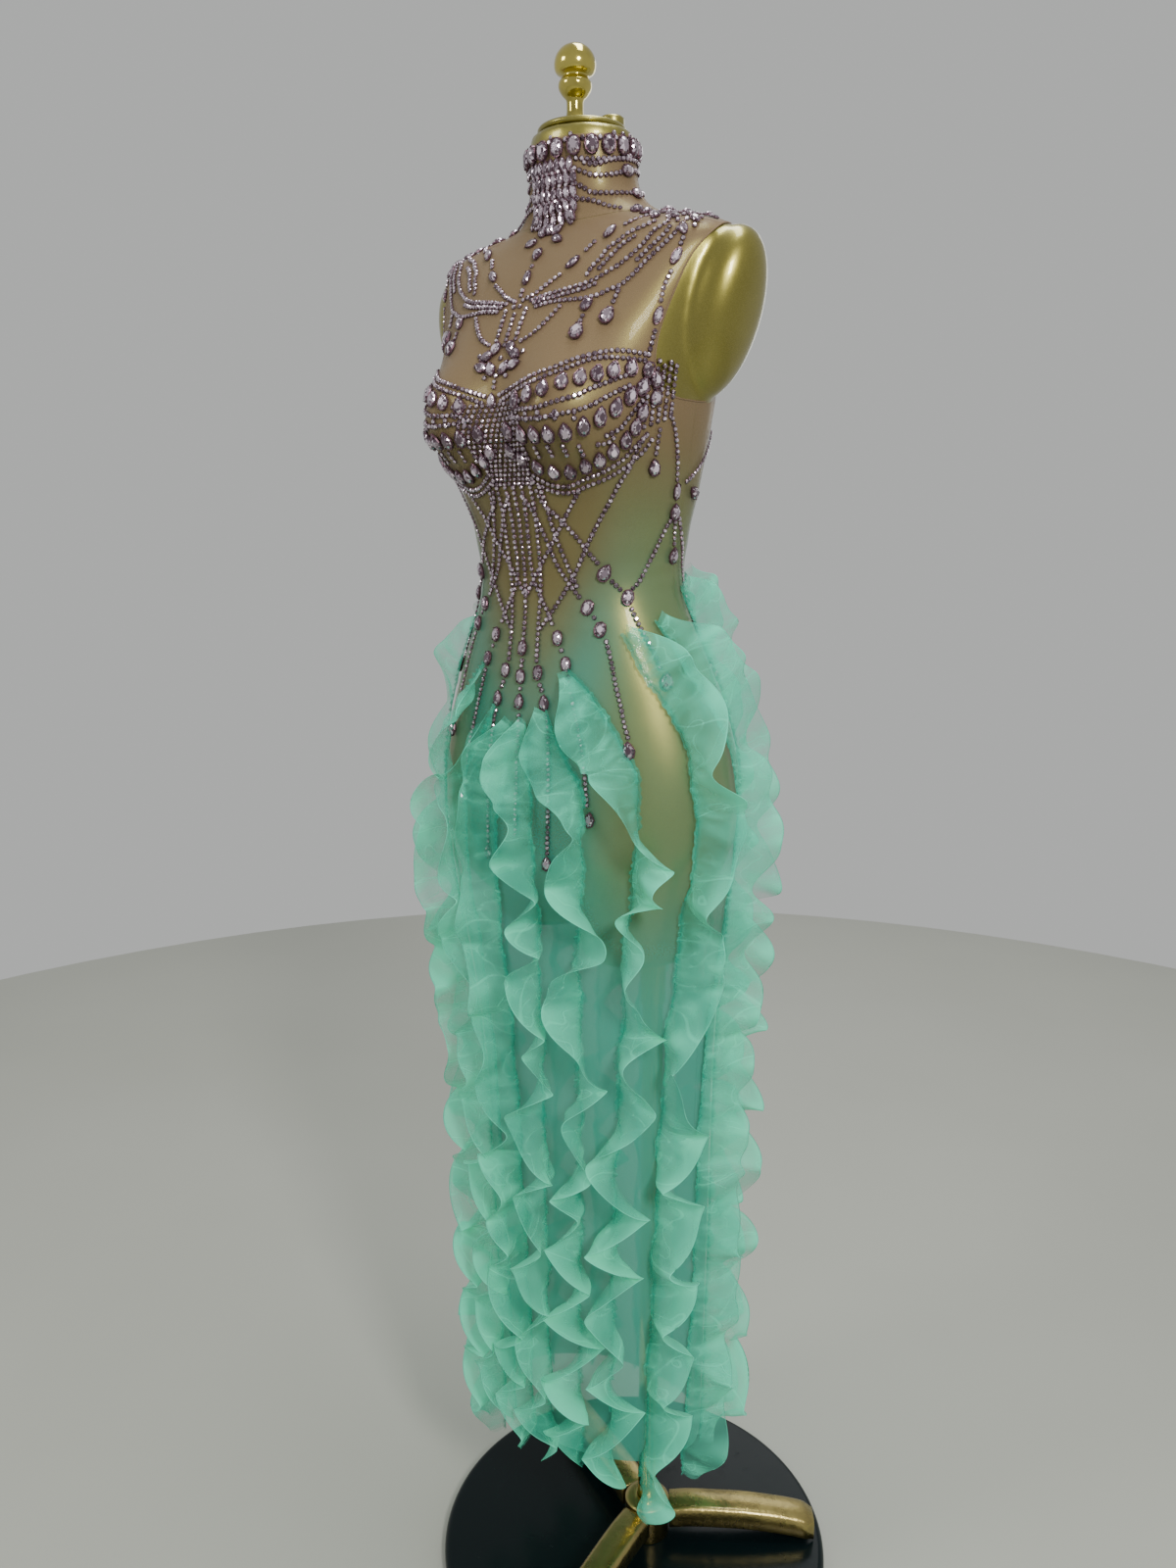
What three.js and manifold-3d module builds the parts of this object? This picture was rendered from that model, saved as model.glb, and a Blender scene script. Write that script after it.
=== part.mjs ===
// A floor-length rhinestone stage dress of sheer stretch mesh, worn by a limbless display form
// on a pole stand. Millimetres, +Z up. The origin is on the floor, on the axis of the pole.
// The garment's front faces -Y and the wearer's left is +X.
import * as THREE from 'three';
import { mergeVertices } from 'three/addons/utils/BufferGeometryUtils.js';
import Module from 'manifold-3d';

const wasm = await Module();
wasm.setup();

// ---------------------------------------------------------------- driving dimensions
const CLOTH = { gap: 0.6, thick: 1.2 };
const SEAM = 0.3;
const SIDE_SEAM_TURN = 90;
const TURN_STEP = 15;
const COLLAR_LEVEL = 15;
const ARMHOLE = { across: 104, y: 4, z: 1438, forward: 62, backward: 76, tall: 82, corner: 0.66, slant: 0.28,
  reach: 110 };
const ARM_STUB = { across: 156, y: 10, z: 1437, wide: 40, deep: 47, tall: 80, slant: 0.28 };
const POLE = { radius: 11.5, bottom: 20.3, top: 774.2 };
const SLEEVE = { radius: 14, bottom: 714, top: 774.2 };
const DISC = { x: -14, y: -9, radius: 233, height: 20, edge: 5 };
const HUB = { radius: 27, top: 70 };
const LEG = { width: 38, height: 25, wall: 5, turns: [36, 156, 276] };
const RUFFLE = { thick: 1.2, steps: 38, pitch: 122, swing: 46, lowest: 76 };
const NECK_TOP = 1624;
const BEAD_BACKING = 1.4;
const CHAIN = { half: 2.6, drop: 6.5 };

// Cross-sections of the figure under the cloth, a row for each level from the hem up.
// z height, cx cy centre, half width, front and back depth, tilt (front edge drop), square corner
const SECTIONS = [
  { z: 168, cx: -66, cy: -7, half: 122, front: 108, back: 112, tilt: -28, square: 1 },
  { z: 420, cx: -68, cy: -7, half: 128, front: 114, back: 116, tilt: 0, square: 1 },
  { z: 640, cx: -74, cy: -7, half: 136, front: 116, back: 124, tilt: 0, square: 1 },
  { z: 770, cx: -84, cy: -7, half: 154, front: 116, back: 142, tilt: 0, square: 1 },
  { z: 880, cx: -94, cy: -7, half: 174, front: 114, back: 160, tilt: 0, square: 1 },
  { z: 975, cx: -97, cy: -7, half: 180, front: 108, back: 162, tilt: 0, square: 1 },
  { z: 1070, cx: -97, cy: -7, half: 155, front: 100, back: 130, tilt: 0, square: 1 },
  { z: 1166, cx: -97, cy: -7, half: 120, front: 90, back: 92, tilt: 0, square: 1 },
  { z: 1225, cx: -97, cy: -7, half: 124, front: 96, back: 90, tilt: 0, square: 1 },
  { z: 1275, cx: -97, cy: -7, half: 133, front: 105, back: 98, tilt: 0, square: 0.95 },
  { z: 1350, cx: -97, cy: -7, half: 144, front: 121, back: 113, tilt: 0, square: 0.92 },
  { z: 1410, cx: -97, cy: -7, half: 152, front: 112, back: 112, tilt: 0, square: 0.88 },
  { z: 1474, cx: -97, cy: -4, half: 168, front: 88, back: 96, tilt: 4, square: 0.86 },
  { z: 1513, cx: -97, cy: -1, half: 174, front: 66, back: 72, tilt: 6, square: 0.9 },
  { z: 1530, cx: -97, cy: 1, half: 134, front: 56, back: 62, tilt: 8, square: 0.95 },
  { z: 1543, cx: -97, cy: 1, half: 82, front: 52, back: 56, tilt: 12, square: 1 },
  { z: 1564, cx: -97, cy: -1, half: 60, front: 50, back: 53, tilt: 9, square: 1 },
  { z: 1590, cx: -97, cy: -3, half: 56, front: 50, back: 51, tilt: 5, square: 1 },
  { z: 1614, cx: -97, cy: -4, half: 55, front: 50, back: 50, tilt: 4, square: 1 },
];
const COLUMNS = ['z', 'cx', 'cy', 'half', 'front', 'back', 'tilt', 'square'];
const CUP = { across: 72, z: 1336, push: 40, wide: 46, below: 38, above: 52, splay: 0.15 };
const CENTRE_X = -97;

// Levels at which the walls have a ring of points: close together round the bust and shoulders.
const LEVELS = [0, 1, 2, 3, 3.5, 4, 4.5, 5, 5.5, 6, 6.5, 7, 7.5, 8, 8.5, 9, 9.35, 9.7, 10, 10.35, 10.7,
  11, 11.5, 12, 12.5, 13, 13.35, 13.7, 14, 14.5, 15];
const COLLAR_LEVELS = [15, 15.5, 16, 17, 18];

// ---------------------------------------------------------------- figure surface
const radians = (degrees) => degrees * Math.PI / 180;
const clamp = THREE.MathUtils.clamp;
const power = (value, exponent) => Math.sign(value) * Math.abs(value) ** exponent;

// One section between two rows, by a smooth curve through the rows around it.
function sectionAt(level) {
  const last = SECTIONS.length - 1;
  const at = clamp(level, 0, last - 1e-9);
  const row = Math.floor(at);
  const u = at - row;
  const section = {};
  for (const name of COLUMNS) {
    const here = SECTIONS[row][name];
    const next = SECTIONS[row + 1][name];
    const before = row > 0 ? SECTIONS[row - 1][name] : here * 2 - next;
    const after = row < last - 1 ? SECTIONS[row + 2][name] : next * 2 - here;
    const slopeIn = (next - before) / 2;
    const slopeOut = (after - here) / 2;
    section[name] = here * (2 * u ** 3 - 3 * u ** 2 + 1) + slopeIn * (u ** 3 - 2 * u ** 2 + u)
      + next * (3 * u ** 2 - 2 * u ** 3) + slopeOut * (u ** 3 - u ** 2);
  }
  return section;
}

// The level whose ring stands at a height.
function levelAt(height) {
  let low = 0;
  let high = SECTIONS.length - 1;
  for (let step = 0; step < 30; step += 1) {
    const middle = (low + high) / 2;
    if (sectionAt(middle).z < height) low = middle;
    else high = middle;
  }
  return (low + high) / 2;
}

// A point of the figure: turn 0 is centre front, 90 the wearer's left side.
function figurePoint(turn, level) {
  const row = sectionAt(level);
  const across = power(Math.sin(radians(turn)), row.square);
  const ahead = power(Math.cos(radians(turn)), row.square);
  const depth = row.back + (row.front - row.back) * (0.5 + 0.5 * Math.tanh(ahead * 3));
  const point = new THREE.Vector3(row.cx + row.half * across, row.cy - depth * ahead,
    row.z - row.tilt * ahead);
  const front = clamp(ahead * 1.6, 0, 1);
  for (const side of [-1, 1]) {
    const dx = point.x - row.cx - side * CUP.across;
    const dz = point.z - CUP.z;
    const tall = dz < 0 ? CUP.below : CUP.above;
    const push = CUP.push * front * Math.exp(-((dx / CUP.wide) ** 2) / 1.6 - ((dz / tall) ** 2) / 1.4);
    point.y -= push;
    point.x += side * CUP.splay * push;
  }
  return point;
}

function figureNormal(turn, level) {
  const round = figurePoint(turn + 0.1, level).sub(figurePoint(turn - 0.1, level));
  const low = Math.max(level - 0.01, 0);
  const high = Math.min(level + 0.01, SECTIONS.length - 1);
  const up = figurePoint(turn, high).sub(figurePoint(turn, low));
  return round.cross(up).normalize();
}

function offFigure(turn, level, out) {
  return figurePoint(turn, level).addScaledVector(figureNormal(turn, level), out);
}

// A point on the facets of the cloth, moved out: the same corners and diagonals as the walls.
function onCloth(turn, height, out) {
  const hem = SECTIONS[0].z;
  const levels = height > SECTIONS[COLLAR_LEVEL].z ? COLLAR_LEVELS : LEVELS;
  const level = levelAt(height);
  let row = levels.findIndex((value) => value > level) - 1;
  if (row < 0) row = level <= levels[0] ? 0 : levels.length - 2;
  const y = clamp((level - levels[row]) / (levels[row + 1] - levels[row]), 0, 1);
  const column = Math.floor(turn / TURN_STEP);
  const x = turn / TURN_STEP - column;
  const lift = CLOTH.gap + CLOTH.thick + out;
  const corner = (i, j) => offFigure((column + i) * TURN_STEP, levels[row + j], lift);
  const [a, c] = [corner(0, 0), corner(1, 1)];
  const b = x >= y ? corner(1, 0) : corner(0, 1);
  const point = x >= y
    ? a.clone().addScaledVector(b.clone().sub(a), x).addScaledVector(c.clone().sub(b), y)
    : a.clone().addScaledVector(b.clone().sub(a), y).addScaledVector(c.clone().sub(b), x);
  if (height < hem) point.z += height - hem;
  return point;
}

// ---------------------------------------------------------------- solids from rings of points
function geometryFrom(points, triangles) {
  const corners = points.flatMap((point) => [point.x, point.y, point.z]);
  let volume = 0;
  for (const [a, b, c] of triangles) {
    volume += points[a].dot(points[b].clone().cross(points[c]));
  }
  const facing = volume < 0 ? triangles.map(([a, b, c]) => [a, c, b]) : triangles;
  const geometry = new THREE.BufferGeometry();
  geometry.setAttribute('position', new THREE.Float32BufferAttribute(corners, 3));
  geometry.setIndex(facing.flat());
  return geometry;
}

const quad = (a, b, c, d) => [[a, b, c], [a, c, d]];

// A closed wall between an outer and an inner grid of points, grid[column][row].
function wall(outer, inner) {
  const columns = outer.length;
  const rows = outer[0].length;
  const points = [...outer.flat(), ...inner.flat()];
  const out = (i, j) => i * rows + j;
  const back = (i, j) => columns * rows + i * rows + j;
  const triangles = [];
  for (let i = 0; i < columns - 1; i += 1) {
    for (let j = 0; j < rows - 1; j += 1) {
      triangles.push(...quad(out(i, j), out(i + 1, j), out(i + 1, j + 1), out(i, j + 1)));
      triangles.push(...quad(back(i, j), back(i + 1, j), back(i + 1, j + 1), back(i, j + 1))
        .map(([a, b, c]) => [a, c, b]));
    }
    for (const j of [0, rows - 1]) {
      const rim = quad(out(i, j), back(i, j), back(i + 1, j), out(i + 1, j));
      triangles.push(...(j === 0 ? rim : rim.map(([a, b, c]) => [a, c, b])));
    }
  }
  for (let j = 0; j < rows - 1; j += 1) {
    for (const i of [0, columns - 1]) {
      const rim = quad(out(i, j), out(i, j + 1), back(i, j + 1), back(i, j));
      triangles.push(...(i === 0 ? rim : rim.map(([a, b, c]) => [a, c, b])));
    }
  }
  return geometryFrom(points, triangles);
}

// A solid through closed rings, each a list of points, with flat fans over both ends.
function loft(rings) {
  const sides = rings[0].length;
  const points = rings.flat();
  const triangles = [];
  for (let k = 0; k < rings.length - 1; k += 1) {
    for (let i = 0; i < sides; i += 1) {
      const next = (i + 1) % sides;
      triangles.push(...quad(k * sides + i, k * sides + next, (k + 1) * sides + next, (k + 1) * sides + i));
    }
  }
  const top = (rings.length - 1) * sides;
  for (const [ring, base] of [[rings[0], 0], [rings.at(-1), top]]) {
    const middle = ring.reduce((sum, point) => sum.add(point), new THREE.Vector3()).divideScalar(sides);
    points.push(middle);
    for (let i = 0; i < sides; i += 1) {
      const fan = [base + i, base + (i + 1) % sides, points.length - 1];
      triangles.push(base === 0 ? [fan[1], fan[0], fan[2]] : fan);
    }
  }
  return geometryFrom(points, triangles);
}

function solid(geometry) {
  const plain = geometry.clone();
  plain.deleteAttribute('normal');
  plain.deleteAttribute('uv');
  const merged = mergeVertices(plain, 1e-4);
  return new wasm.Manifold(new wasm.Mesh({
    numProp: 3,
    vertProperties: new Float32Array(merged.attributes.position.array),
    triVerts: new Uint32Array(merged.index.array),
  }));
}

function fromSolid(body) {
  const mesh = body.getMesh();
  const geometry = new THREE.BufferGeometry();
  geometry.setAttribute('position', new THREE.Float32BufferAttribute(mesh.vertProperties, 3));
  geometry.setIndex([...mesh.triVerts]);
  return geometry;
}

// ---------------------------------------------------------------- materials and nodes
function paint(color, roughness, metalness) {
  return new THREE.MeshStandardMaterial({ color, roughness, metalness });
}

const FINISH = {
  mesh: () => paint(0x7fa583, 0.6, 0),
  collar: () => paint(0x9a8368, 0.6, 0),
  tulle: () => paint(0x7fc3a3, 0.75, 0),
  stones: () => paint(0x9c8496, 0.15, 0.4),
  gold: () => paint(0x9c9247, 0.28, 1),
  brass: () => paint(0xb39a4a, 0.2, 1),
  disc: () => paint(0x0a1414, 0.12, 0),
};
const dress = new THREE.Group();

function add(name, geometry, finish) {
  const mesh = new THREE.Mesh(geometry, FINISH[finish]());
  mesh.name = name;
  dress.add(mesh);
  return mesh;
}

// ---------------------------------------------------------------- cloth panels
// A panel between two turns, half a seam short of each, over a list of levels.
function panel(fromTurn, toTurn, levels, bottomGap) {
  const columns = Math.round((toTurn - fromTurn) / TURN_STEP);
  const face = (out) => Array.from({ length: columns + 1 }, (_, i) => levels.map((level, j) => {
    const turn = fromTurn + i * TURN_STEP;
    const side = Number(i === 0) - Number(i === columns);
    const point = offFigure(turn, level, out);
    const round = figurePoint(turn + 0.1, level).sub(figurePoint(turn - 0.1, level)).normalize();
    point.addScaledVector(round, side * SEAM / 2);
    if (j === 0) {
      const up = figurePoint(turn, level + 0.02).sub(figurePoint(turn, level)).normalize();
      point.addScaledVector(up, bottomGap);
    }
    return point;
  }));
  return wall(face(CLOTH.gap + CLOTH.thick), face(CLOTH.gap));
}

// A block along X with the outline of an armhole: an oval with full corners that slants to the back.
function armholeCutter(side) {
  const sides = 26;
  const ring = (across) => Array.from({ length: sides }, (_, i) => {
    const angle = i / sides * Math.PI * 2;
    const rise = ARMHOLE.tall * power(Math.sin(angle), ARMHOLE.corner);
    const deep = Math.cos(angle) < 0 ? ARMHOLE.forward : ARMHOLE.backward;
    const behind = deep * power(Math.cos(angle), ARMHOLE.corner) + ARMHOLE.slant * rise;
    return new THREE.Vector3(CENTRE_X + side * across, ARMHOLE.y + behind, ARMHOLE.z + rise);
  });
  return solid(loft([ring(ARMHOLE.across), ring(ARMHOLE.across + ARMHOLE.reach)]));
}

const armholes = [-1, 1].map(armholeCutter);

function cutArmholes(geometry) {
  return fromSolid(armholes.reduce((body, cutter) => body.subtract(cutter), solid(geometry)));
}

add('dress_front', cutArmholes(panel(-SIDE_SEAM_TURN, SIDE_SEAM_TURN, LEVELS, 0)), 'mesh');
add('dress_back_left', cutArmholes(panel(SIDE_SEAM_TURN, 180, LEVELS, 0)), 'mesh');
add('dress_back_right', cutArmholes(panel(-180, -SIDE_SEAM_TURN, LEVELS, 0)), 'mesh');
add('collar', panel(-180, 180, COLLAR_LEVELS, SEAM), 'collar');

// ---------------------------------------------------------------- ruffles
// Each ruffle is one gathered strip, stitched along a line of turn and height, the same on both
// sides of the dress. top and rest are how far it leans over at its upper end and further down, in
// degrees, + away from centre front. seat is its height over the cloth at the stitches.
const RUFFLES = [
  { name: 'ruffle_1', width: 46, top: 50, rest: 0, seat: 1.1,
    line: [[3, 1036], [6, 960], [9, 880], [9, 780], [8, 640], [7, 470], [6, 300], [7, 165]] },
  { name: 'ruffle_2', width: 46, top: -30, rest: -12, seat: 1.1,
    line: [[12, 1050], [19, 1006], [26, 968], [27, 900], [26, 800], [26, 700], [25, 560], [24, 400],
      [23, 175]] },
  { name: 'ruffle_3', width: 56, top: -66, rest: -26, seat: 1.7,
    line: [[22, 1092], [32, 1068], [40, 1032], [46, 990], [48, 940], [46, 860], [45, 740], [43, 600],
      [41, 430], [39, 158]] },
  { name: 'ruffle_4', width: 56, top: 66, rest: 26, seat: 1.8,
    line: [[50, 1130], [58, 1085], [67, 1044], [72, 990], [74, 925], [71, 850], [68, 760], [65, 620],
      [62, 470], [60, 320], [57, 104]] },
  { name: 'ruffle_5', width: 60, top: 60, rest: 30, seat: 1.9,
    line: [[70, 1142], [82, 1092], [96, 1038], [104, 975], [106, 900], [102, 800], [96, 690],
      [92, 560], [90, 380], [86, 138]] },
  { name: 'ruffle_6', width: 60, top: 56, rest: 22, seat: 1.8,
    line: [[98, 1176], [112, 1112], [124, 1040], [131, 960], [131, 860], [126, 740], [121, 600],
      [118, 400], [114, 150]] },
  { name: 'ruffle_7', width: 58, top: 40, rest: 12, seat: 1.8,
    line: [[124, 1190], [136, 1122], [147, 1050], [152, 960], [151, 860], [148, 740], [145, 600],
      [142, 400], [140, 150]] },
  { name: 'ruffle_8', width: 50, top: 0, rest: 0, seat: 1.8,
    line: [[156, 1172], [163, 1100], [168, 1020], [170, 900], [169, 760], [168, 600], [167, 400],
      [167, 160]] },
];

// The lean of the strip off the outward direction, in degrees, never lower than just above the cloth.
// All strips swing together at one height, so that neighbours lie beside each other and never cross.
function leafLean(row, side, along, height) {
  const lay = THREE.MathUtils.smoothstep(along, 0.04, 0.3);
  const mean = side * (row.top * (1 - lay) + row.rest * lay);
  const wave = height / RUFFLE.pitch + 0.1 * Math.sin(height / 110);
  const swing = RUFFLE.swing * THREE.MathUtils.smoothstep(along, 0.08, 0.34);
  return clamp(mean + swing * Math.sin(wave * Math.PI * 2), -RUFFLE.lowest, RUFFLE.lowest);
}

function leafWidth(row, along) {
  const opening = Math.min(1, along / 0.12) ** 0.7;
  const closing = Math.min(1, (1 - along) / 0.1) ** 0.6;
  const slimmer = 1 - 0.16 * THREE.MathUtils.smoothstep(along, 0.25, 0.6);
  return Math.max(5, row.width * slimmer * opening * closing);
}

function ruffle(row, side) {
  const line = new THREE.SplineCurve(row.line.map(([turn, height]) => new THREE.Vector2(turn, height)));
  const place = (along) => line.getPointAt(clamp(along, 0, 1));
  const seam = (along) => onCloth(place(along).x * side, place(along).y, row.seat);
  const faces = [1, -1].map(() => Array.from({ length: 2 }, () => []));
  for (let k = 0; k <= RUFFLE.steps; k += 1) {
    const along = k / RUFFLE.steps;
    const { x: turn, y: height } = place(along);
    const root = seam(along);
    const run = seam(along + 0.01).sub(seam(along - 0.01)).normalize();
    const out = figureNormal(turn * side, levelAt(height));
    const across = run.clone().cross(out).normalize();
    const lean = radians(leafLean(row, side, along, height));
    const leaf = out.clone().multiplyScalar(Math.cos(lean)).addScaledVector(across, -Math.sin(lean));
    const tip = root.clone().addScaledVector(leaf, leafWidth(row, along));
    const off = leaf.clone().cross(run).normalize().multiplyScalar(RUFFLE.thick / 2);
    faces.forEach((face, which) => {
      const sign = which === 0 ? 1 : -1;
      face[0].push(root.clone().addScaledVector(off, sign));
      face[1].push(tip.clone().addScaledVector(off, sign));
    });
  }
  return wall(faces[0], faces[1]);
}

for (const row of RUFFLES) {
  add(`${row.name}_left`, ruffle(row, 1), 'tulle');
  add(`${row.name}_right`, ruffle(row, -1), 'tulle');
}

// ---------------------------------------------------------------- raised stones
// A strip on the cloth along a line of turn and height, plain inside. profileAt gives each column's
// half width and the rise of its middle, and seat is its height over the cloth.
function stripOnCloth({ line, side = 1, seat }, columns, profileAt) {
  const curve = new THREE.SplineCurve(line.map(([turn, height]) => new THREE.Vector2(turn * side, height)));
  const outer = [];
  const inner = [];
  for (let k = 0; k <= columns; k += 1) {
    const along = k / columns;
    const { half, rise } = profileAt(k);
    const here = curve.getPointAt(along);
    const ends = [-0.01, 0.01].map((step) => curve.getPointAt(clamp(along + step, 0, 1)));
    const [start, finish] = ends.map((end) => onCloth(end.x, end.y, 0));
    const middle = onCloth(here.x, here.y, seat);
    const out = figureNormal(here.x, levelAt(here.y));
    const across = finish.sub(start).normalize().cross(out);
    const edge = (sign) => nearestOnCloth(middle.clone().addScaledVector(across, sign * half), here, seat);
    const feet = [edge(-1), middle, edge(1)];
    const lift = [BEAD_BACKING, BEAD_BACKING + rise, BEAD_BACKING];
    outer.push(feet.map((foot, j) => foot.clone().addScaledVector(out, lift[j])));
    inner.push(feet.map((foot) => foot.clone()));
  }
  return wall(outer, inner);
}

// A band of large stones side by side: every second column rises to a stone's point.
function stoneBand(band) {
  const { stones, tall, rise } = band;
  const profileAt = (k) => (k % 2 === 1 ? { half: tall / 2, rise } : { half: tall * 0.3, rise: 0.6 });
  return stripOnCloth(band, stones * 2, profileAt);
}

// A slim chain of small stones with large drops at some of its columns.
function dropChain(chain) {
  const large = { half: CHAIN.drop, rise: 3.5 };
  const small = { half: CHAIN.half, rise: 1 };
  const profileAt = (k) => (chain.drops.includes(k) ? large : small);
  return stripOnCloth(chain, chain.columns, profileAt);
}

// The cloth point beside a stone's middle: the turn and height are stepped until it is close.
function nearestOnCloth(target, from, out) {
  let { x: turn, y: height } = from;
  for (let step = 0; step < 4; step += 1) {
    const here = onCloth(turn, height, out);
    const round = onCloth(turn + 0.5, height, out).sub(here);
    const up = onCloth(turn, height + 2, out).sub(here);
    const miss = target.clone().sub(here);
    turn += 0.5 * miss.dot(round) / round.lengthSq();
    height += 2 * (miss.dot(up) - miss.dot(round) * round.dot(up) / round.lengthSq()) / up.lengthSq();
  }
  return onCloth(turn, height, out);
}

const PAIRED_BANDS = [
  { name: 'cup_stones_upper', seat: 1.7, stones: 8, tall: 17, rise: 5,
    line: [[12, 1352], [25, 1359], [38, 1369], [48, 1377], [57, 1382]] },
  { name: 'cup_stones_middle', seat: 1.4, stones: 8, tall: 18, rise: 5,
    line: [[20, 1324], [30, 1321], [41, 1327], [50, 1340], [57, 1357]] },
  { name: 'cup_stones_lower', seat: 1.1, stones: 6, tall: 18, rise: 5,
    line: [[19, 1294], [27, 1288], [36, 1292], [46, 1303], [54, 1318]] },
  { name: 'shoulder_stones', seat: 1.0, stones: 6, tall: 11, rise: 3.5,
    line: [[84, 1536], [85, 1531], [86, 1526], [87, 1519]] },
];
const CHAINS = [
  { name: 'drop_chain_inner', seat: 1.3, columns: 18, drops: [8, 17],
    line: [[3, 1266], [11, 1234], [20, 1197], [30, 1163], [38, 1138], [42, 1103], [44, 1060], [45, 1012]] },
  { name: 'drop_chain_outer', seat: 1.3, columns: 16, drops: [7, 15],
    line: [[13, 1270], [20, 1246], [34, 1213], [49, 1178], [57, 1150], [63, 1118], [67, 1078]] },
  { name: 'drop_chain_side', seat: 1.0, columns: 8, drops: [5, 7],
    line: [[75, 1345], [79, 1322], [82, 1298], [84, 1270], [84, 1244]] },
];
for (const chain of CHAINS) {
  add(`${chain.name}_left`, dropChain({ ...chain, side: 1 }), 'stones');
  add(`${chain.name}_right`, dropChain({ ...chain, side: -1 }), 'stones');
}
for (const band of PAIRED_BANDS) {
  add(`${band.name}_left`, stoneBand({ ...band, side: 1 }), 'stones');
  add(`${band.name}_right`, stoneBand({ ...band, side: -1 }), 'stones');
}
const SINGLE_BANDS = [
  { name: 'collar_stones', seat: 1.0, stones: 20, tall: 18, rise: 4.5,
    line: [[-176, 1603], [-90, 1603], [0, 1603], [90, 1603], [176, 1603]] },
  { name: 'throat_stones', seat: 0.9, stones: 8, tall: 17, rise: 4.5,
    line: [[-46, 1573], [-20, 1571], [0, 1570], [20, 1571], [46, 1573]] },
  { name: 'chest_brooch', seat: 0.8, stones: 2, tall: 22, rise: 5,
    line: [[0, 1408], [0, 1378]] },
  { name: 'waist_stomacher', seat: 1.2, stones: 5, tall: 44, rise: 2,
    line: [[0, 1346], [0, 1284]] },
];
for (const band of SINGLE_BANDS) add(band.name, stoneBand(band), 'stones');

// ---------------------------------------------------------------- display form
function figureRing(level, scale, drop) {
  const count = 360 / TURN_STEP;
  const row = sectionAt(level);
  return Array.from({ length: count }, (_, i) => {
    const point = figurePoint(i * TURN_STEP, level);
    point.x = row.cx + (point.x - row.cx) * scale;
    point.y = row.cy + (point.y - row.cy) * scale;
    point.z -= drop;
    return point;
  });
}

function thigh({ side, bottom, y }) {
  const rings = [
    { z: 935, x: 86, cy: -1, wide: 84, deep: 86 },
    { z: 880, x: 85, cy: 0, wide: 82, deep: 87 },
    { z: 825, x: 79, cy: y + 4, wide: 72, deep: 82 },
    { z: bottom + 8, x: 73, cy: y, wide: 61, deep: 72 },
    { z: bottom, x: 73, cy: y, wide: 56, deep: 67 },
  ];
  const sides = 20;
  return solid(loft(rings.map(({ z, x, cy, wide, deep }) => {
    const middle = sectionAt(levelAt(z)).cx + side * x;
    return Array.from({ length: sides }, (_, i) => {
      const angle = i / sides * Math.PI * 2;
      return new THREE.Vector3(middle + wide * Math.cos(angle), cy + deep * Math.sin(angle), z);
    });
  })));
}

function armStub(side) {
  const geometry = new THREE.SphereGeometry(1, 16, 10);
  geometry.scale(ARM_STUB.wide, ARM_STUB.deep, ARM_STUB.tall);
  geometry.applyMatrix4(new THREE.Matrix4().makeShear(0, 0, 0, 0, side * ARM_STUB.slant, 0));
  geometry.translate(CENTRE_X + side * ARM_STUB.across, ARM_STUB.y, ARM_STUB.z);
  return solid(geometry);
}

// Rings that round the torso off between the thighs, below its lowest full ring.
const PELVIS = [{ scale: 0.62, drop: 84 }, { scale: 0.85, drop: 62 }, { scale: 0.94, drop: 36 },
  { scale: 0.985, drop: 14 }];

function formBody() {
  const levels = [...LEVELS.filter((level) => level >= 4.5), ...COLLAR_LEVELS.slice(1)];
  const rings = PELVIS.map(({ scale, drop }) => figureRing(4.3, scale, drop));
  rings.push(...levels.map((level) => figureRing(level, 1, 0)));
  rings.push(rings.at(-1).map((point) => new THREE.Vector3(point.x, point.y, NECK_TOP)));
  const parts = [armStub(-1), armStub(1), thigh({ side: 1, bottom: 775, y: -7 }),
    thigh({ side: -1, bottom: 785, y: 22 })];
  return fromSolid(parts.reduce((body, part) => body.add(part), solid(loft(rings))));
}

function turned(profile, sides) {
  const points = profile.map(([radius, z]) => new THREE.Vector2(radius, z));
  return new THREE.LatheGeometry(points, sides).rotateX(Math.PI / 2);
}

add('form_body', formBody(), 'gold');

const neckCap = add('neck_cap', turned([[0, 0], [44, 0], [46, 3], [44, 6], [0, 7]], 28), 'gold');
neckCap.position.set(CENTRE_X, -4, NECK_TOP + SEAM);
const neckPlug = add('neck_plug', turned([[0, 0], [13, 0], [13, 8], [11, 10], [0, 10]], 16), 'gold');
neckPlug.position.set(CENTRE_X + 24, 14, NECK_TOP + 7 + 2 * SEAM);

const FINIAL = [[0, 0], [15, 0], [15, 4], [10, 8], [8.5, 14], [8.5, 26], [13, 30], [17, 36], [17, 42],
  [13.5, 46], [13.5, 48], [20, 51], [21.5, 58], [20, 66], [15, 73], [8, 77], [0, 78]];
const finial = add('finial', turned(FINIAL, 16), 'brass');
finial.position.set(CENTRE_X - 6, -8, NECK_TOP + 7 + 2 * SEAM);

add('pole', turned([[0, POLE.bottom], [POLE.radius, POLE.bottom],
  [POLE.radius, POLE.top], [0, POLE.top]], 20), 'brass');
const bore = POLE.radius + SEAM;
add('pole_sleeve', turned([[bore, SLEEVE.bottom], [SLEEVE.radius, SLEEVE.bottom],
  [SLEEVE.radius, SLEEVE.top], [bore, SLEEVE.top], [bore, SLEEVE.bottom]], 20), 'brass');

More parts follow.
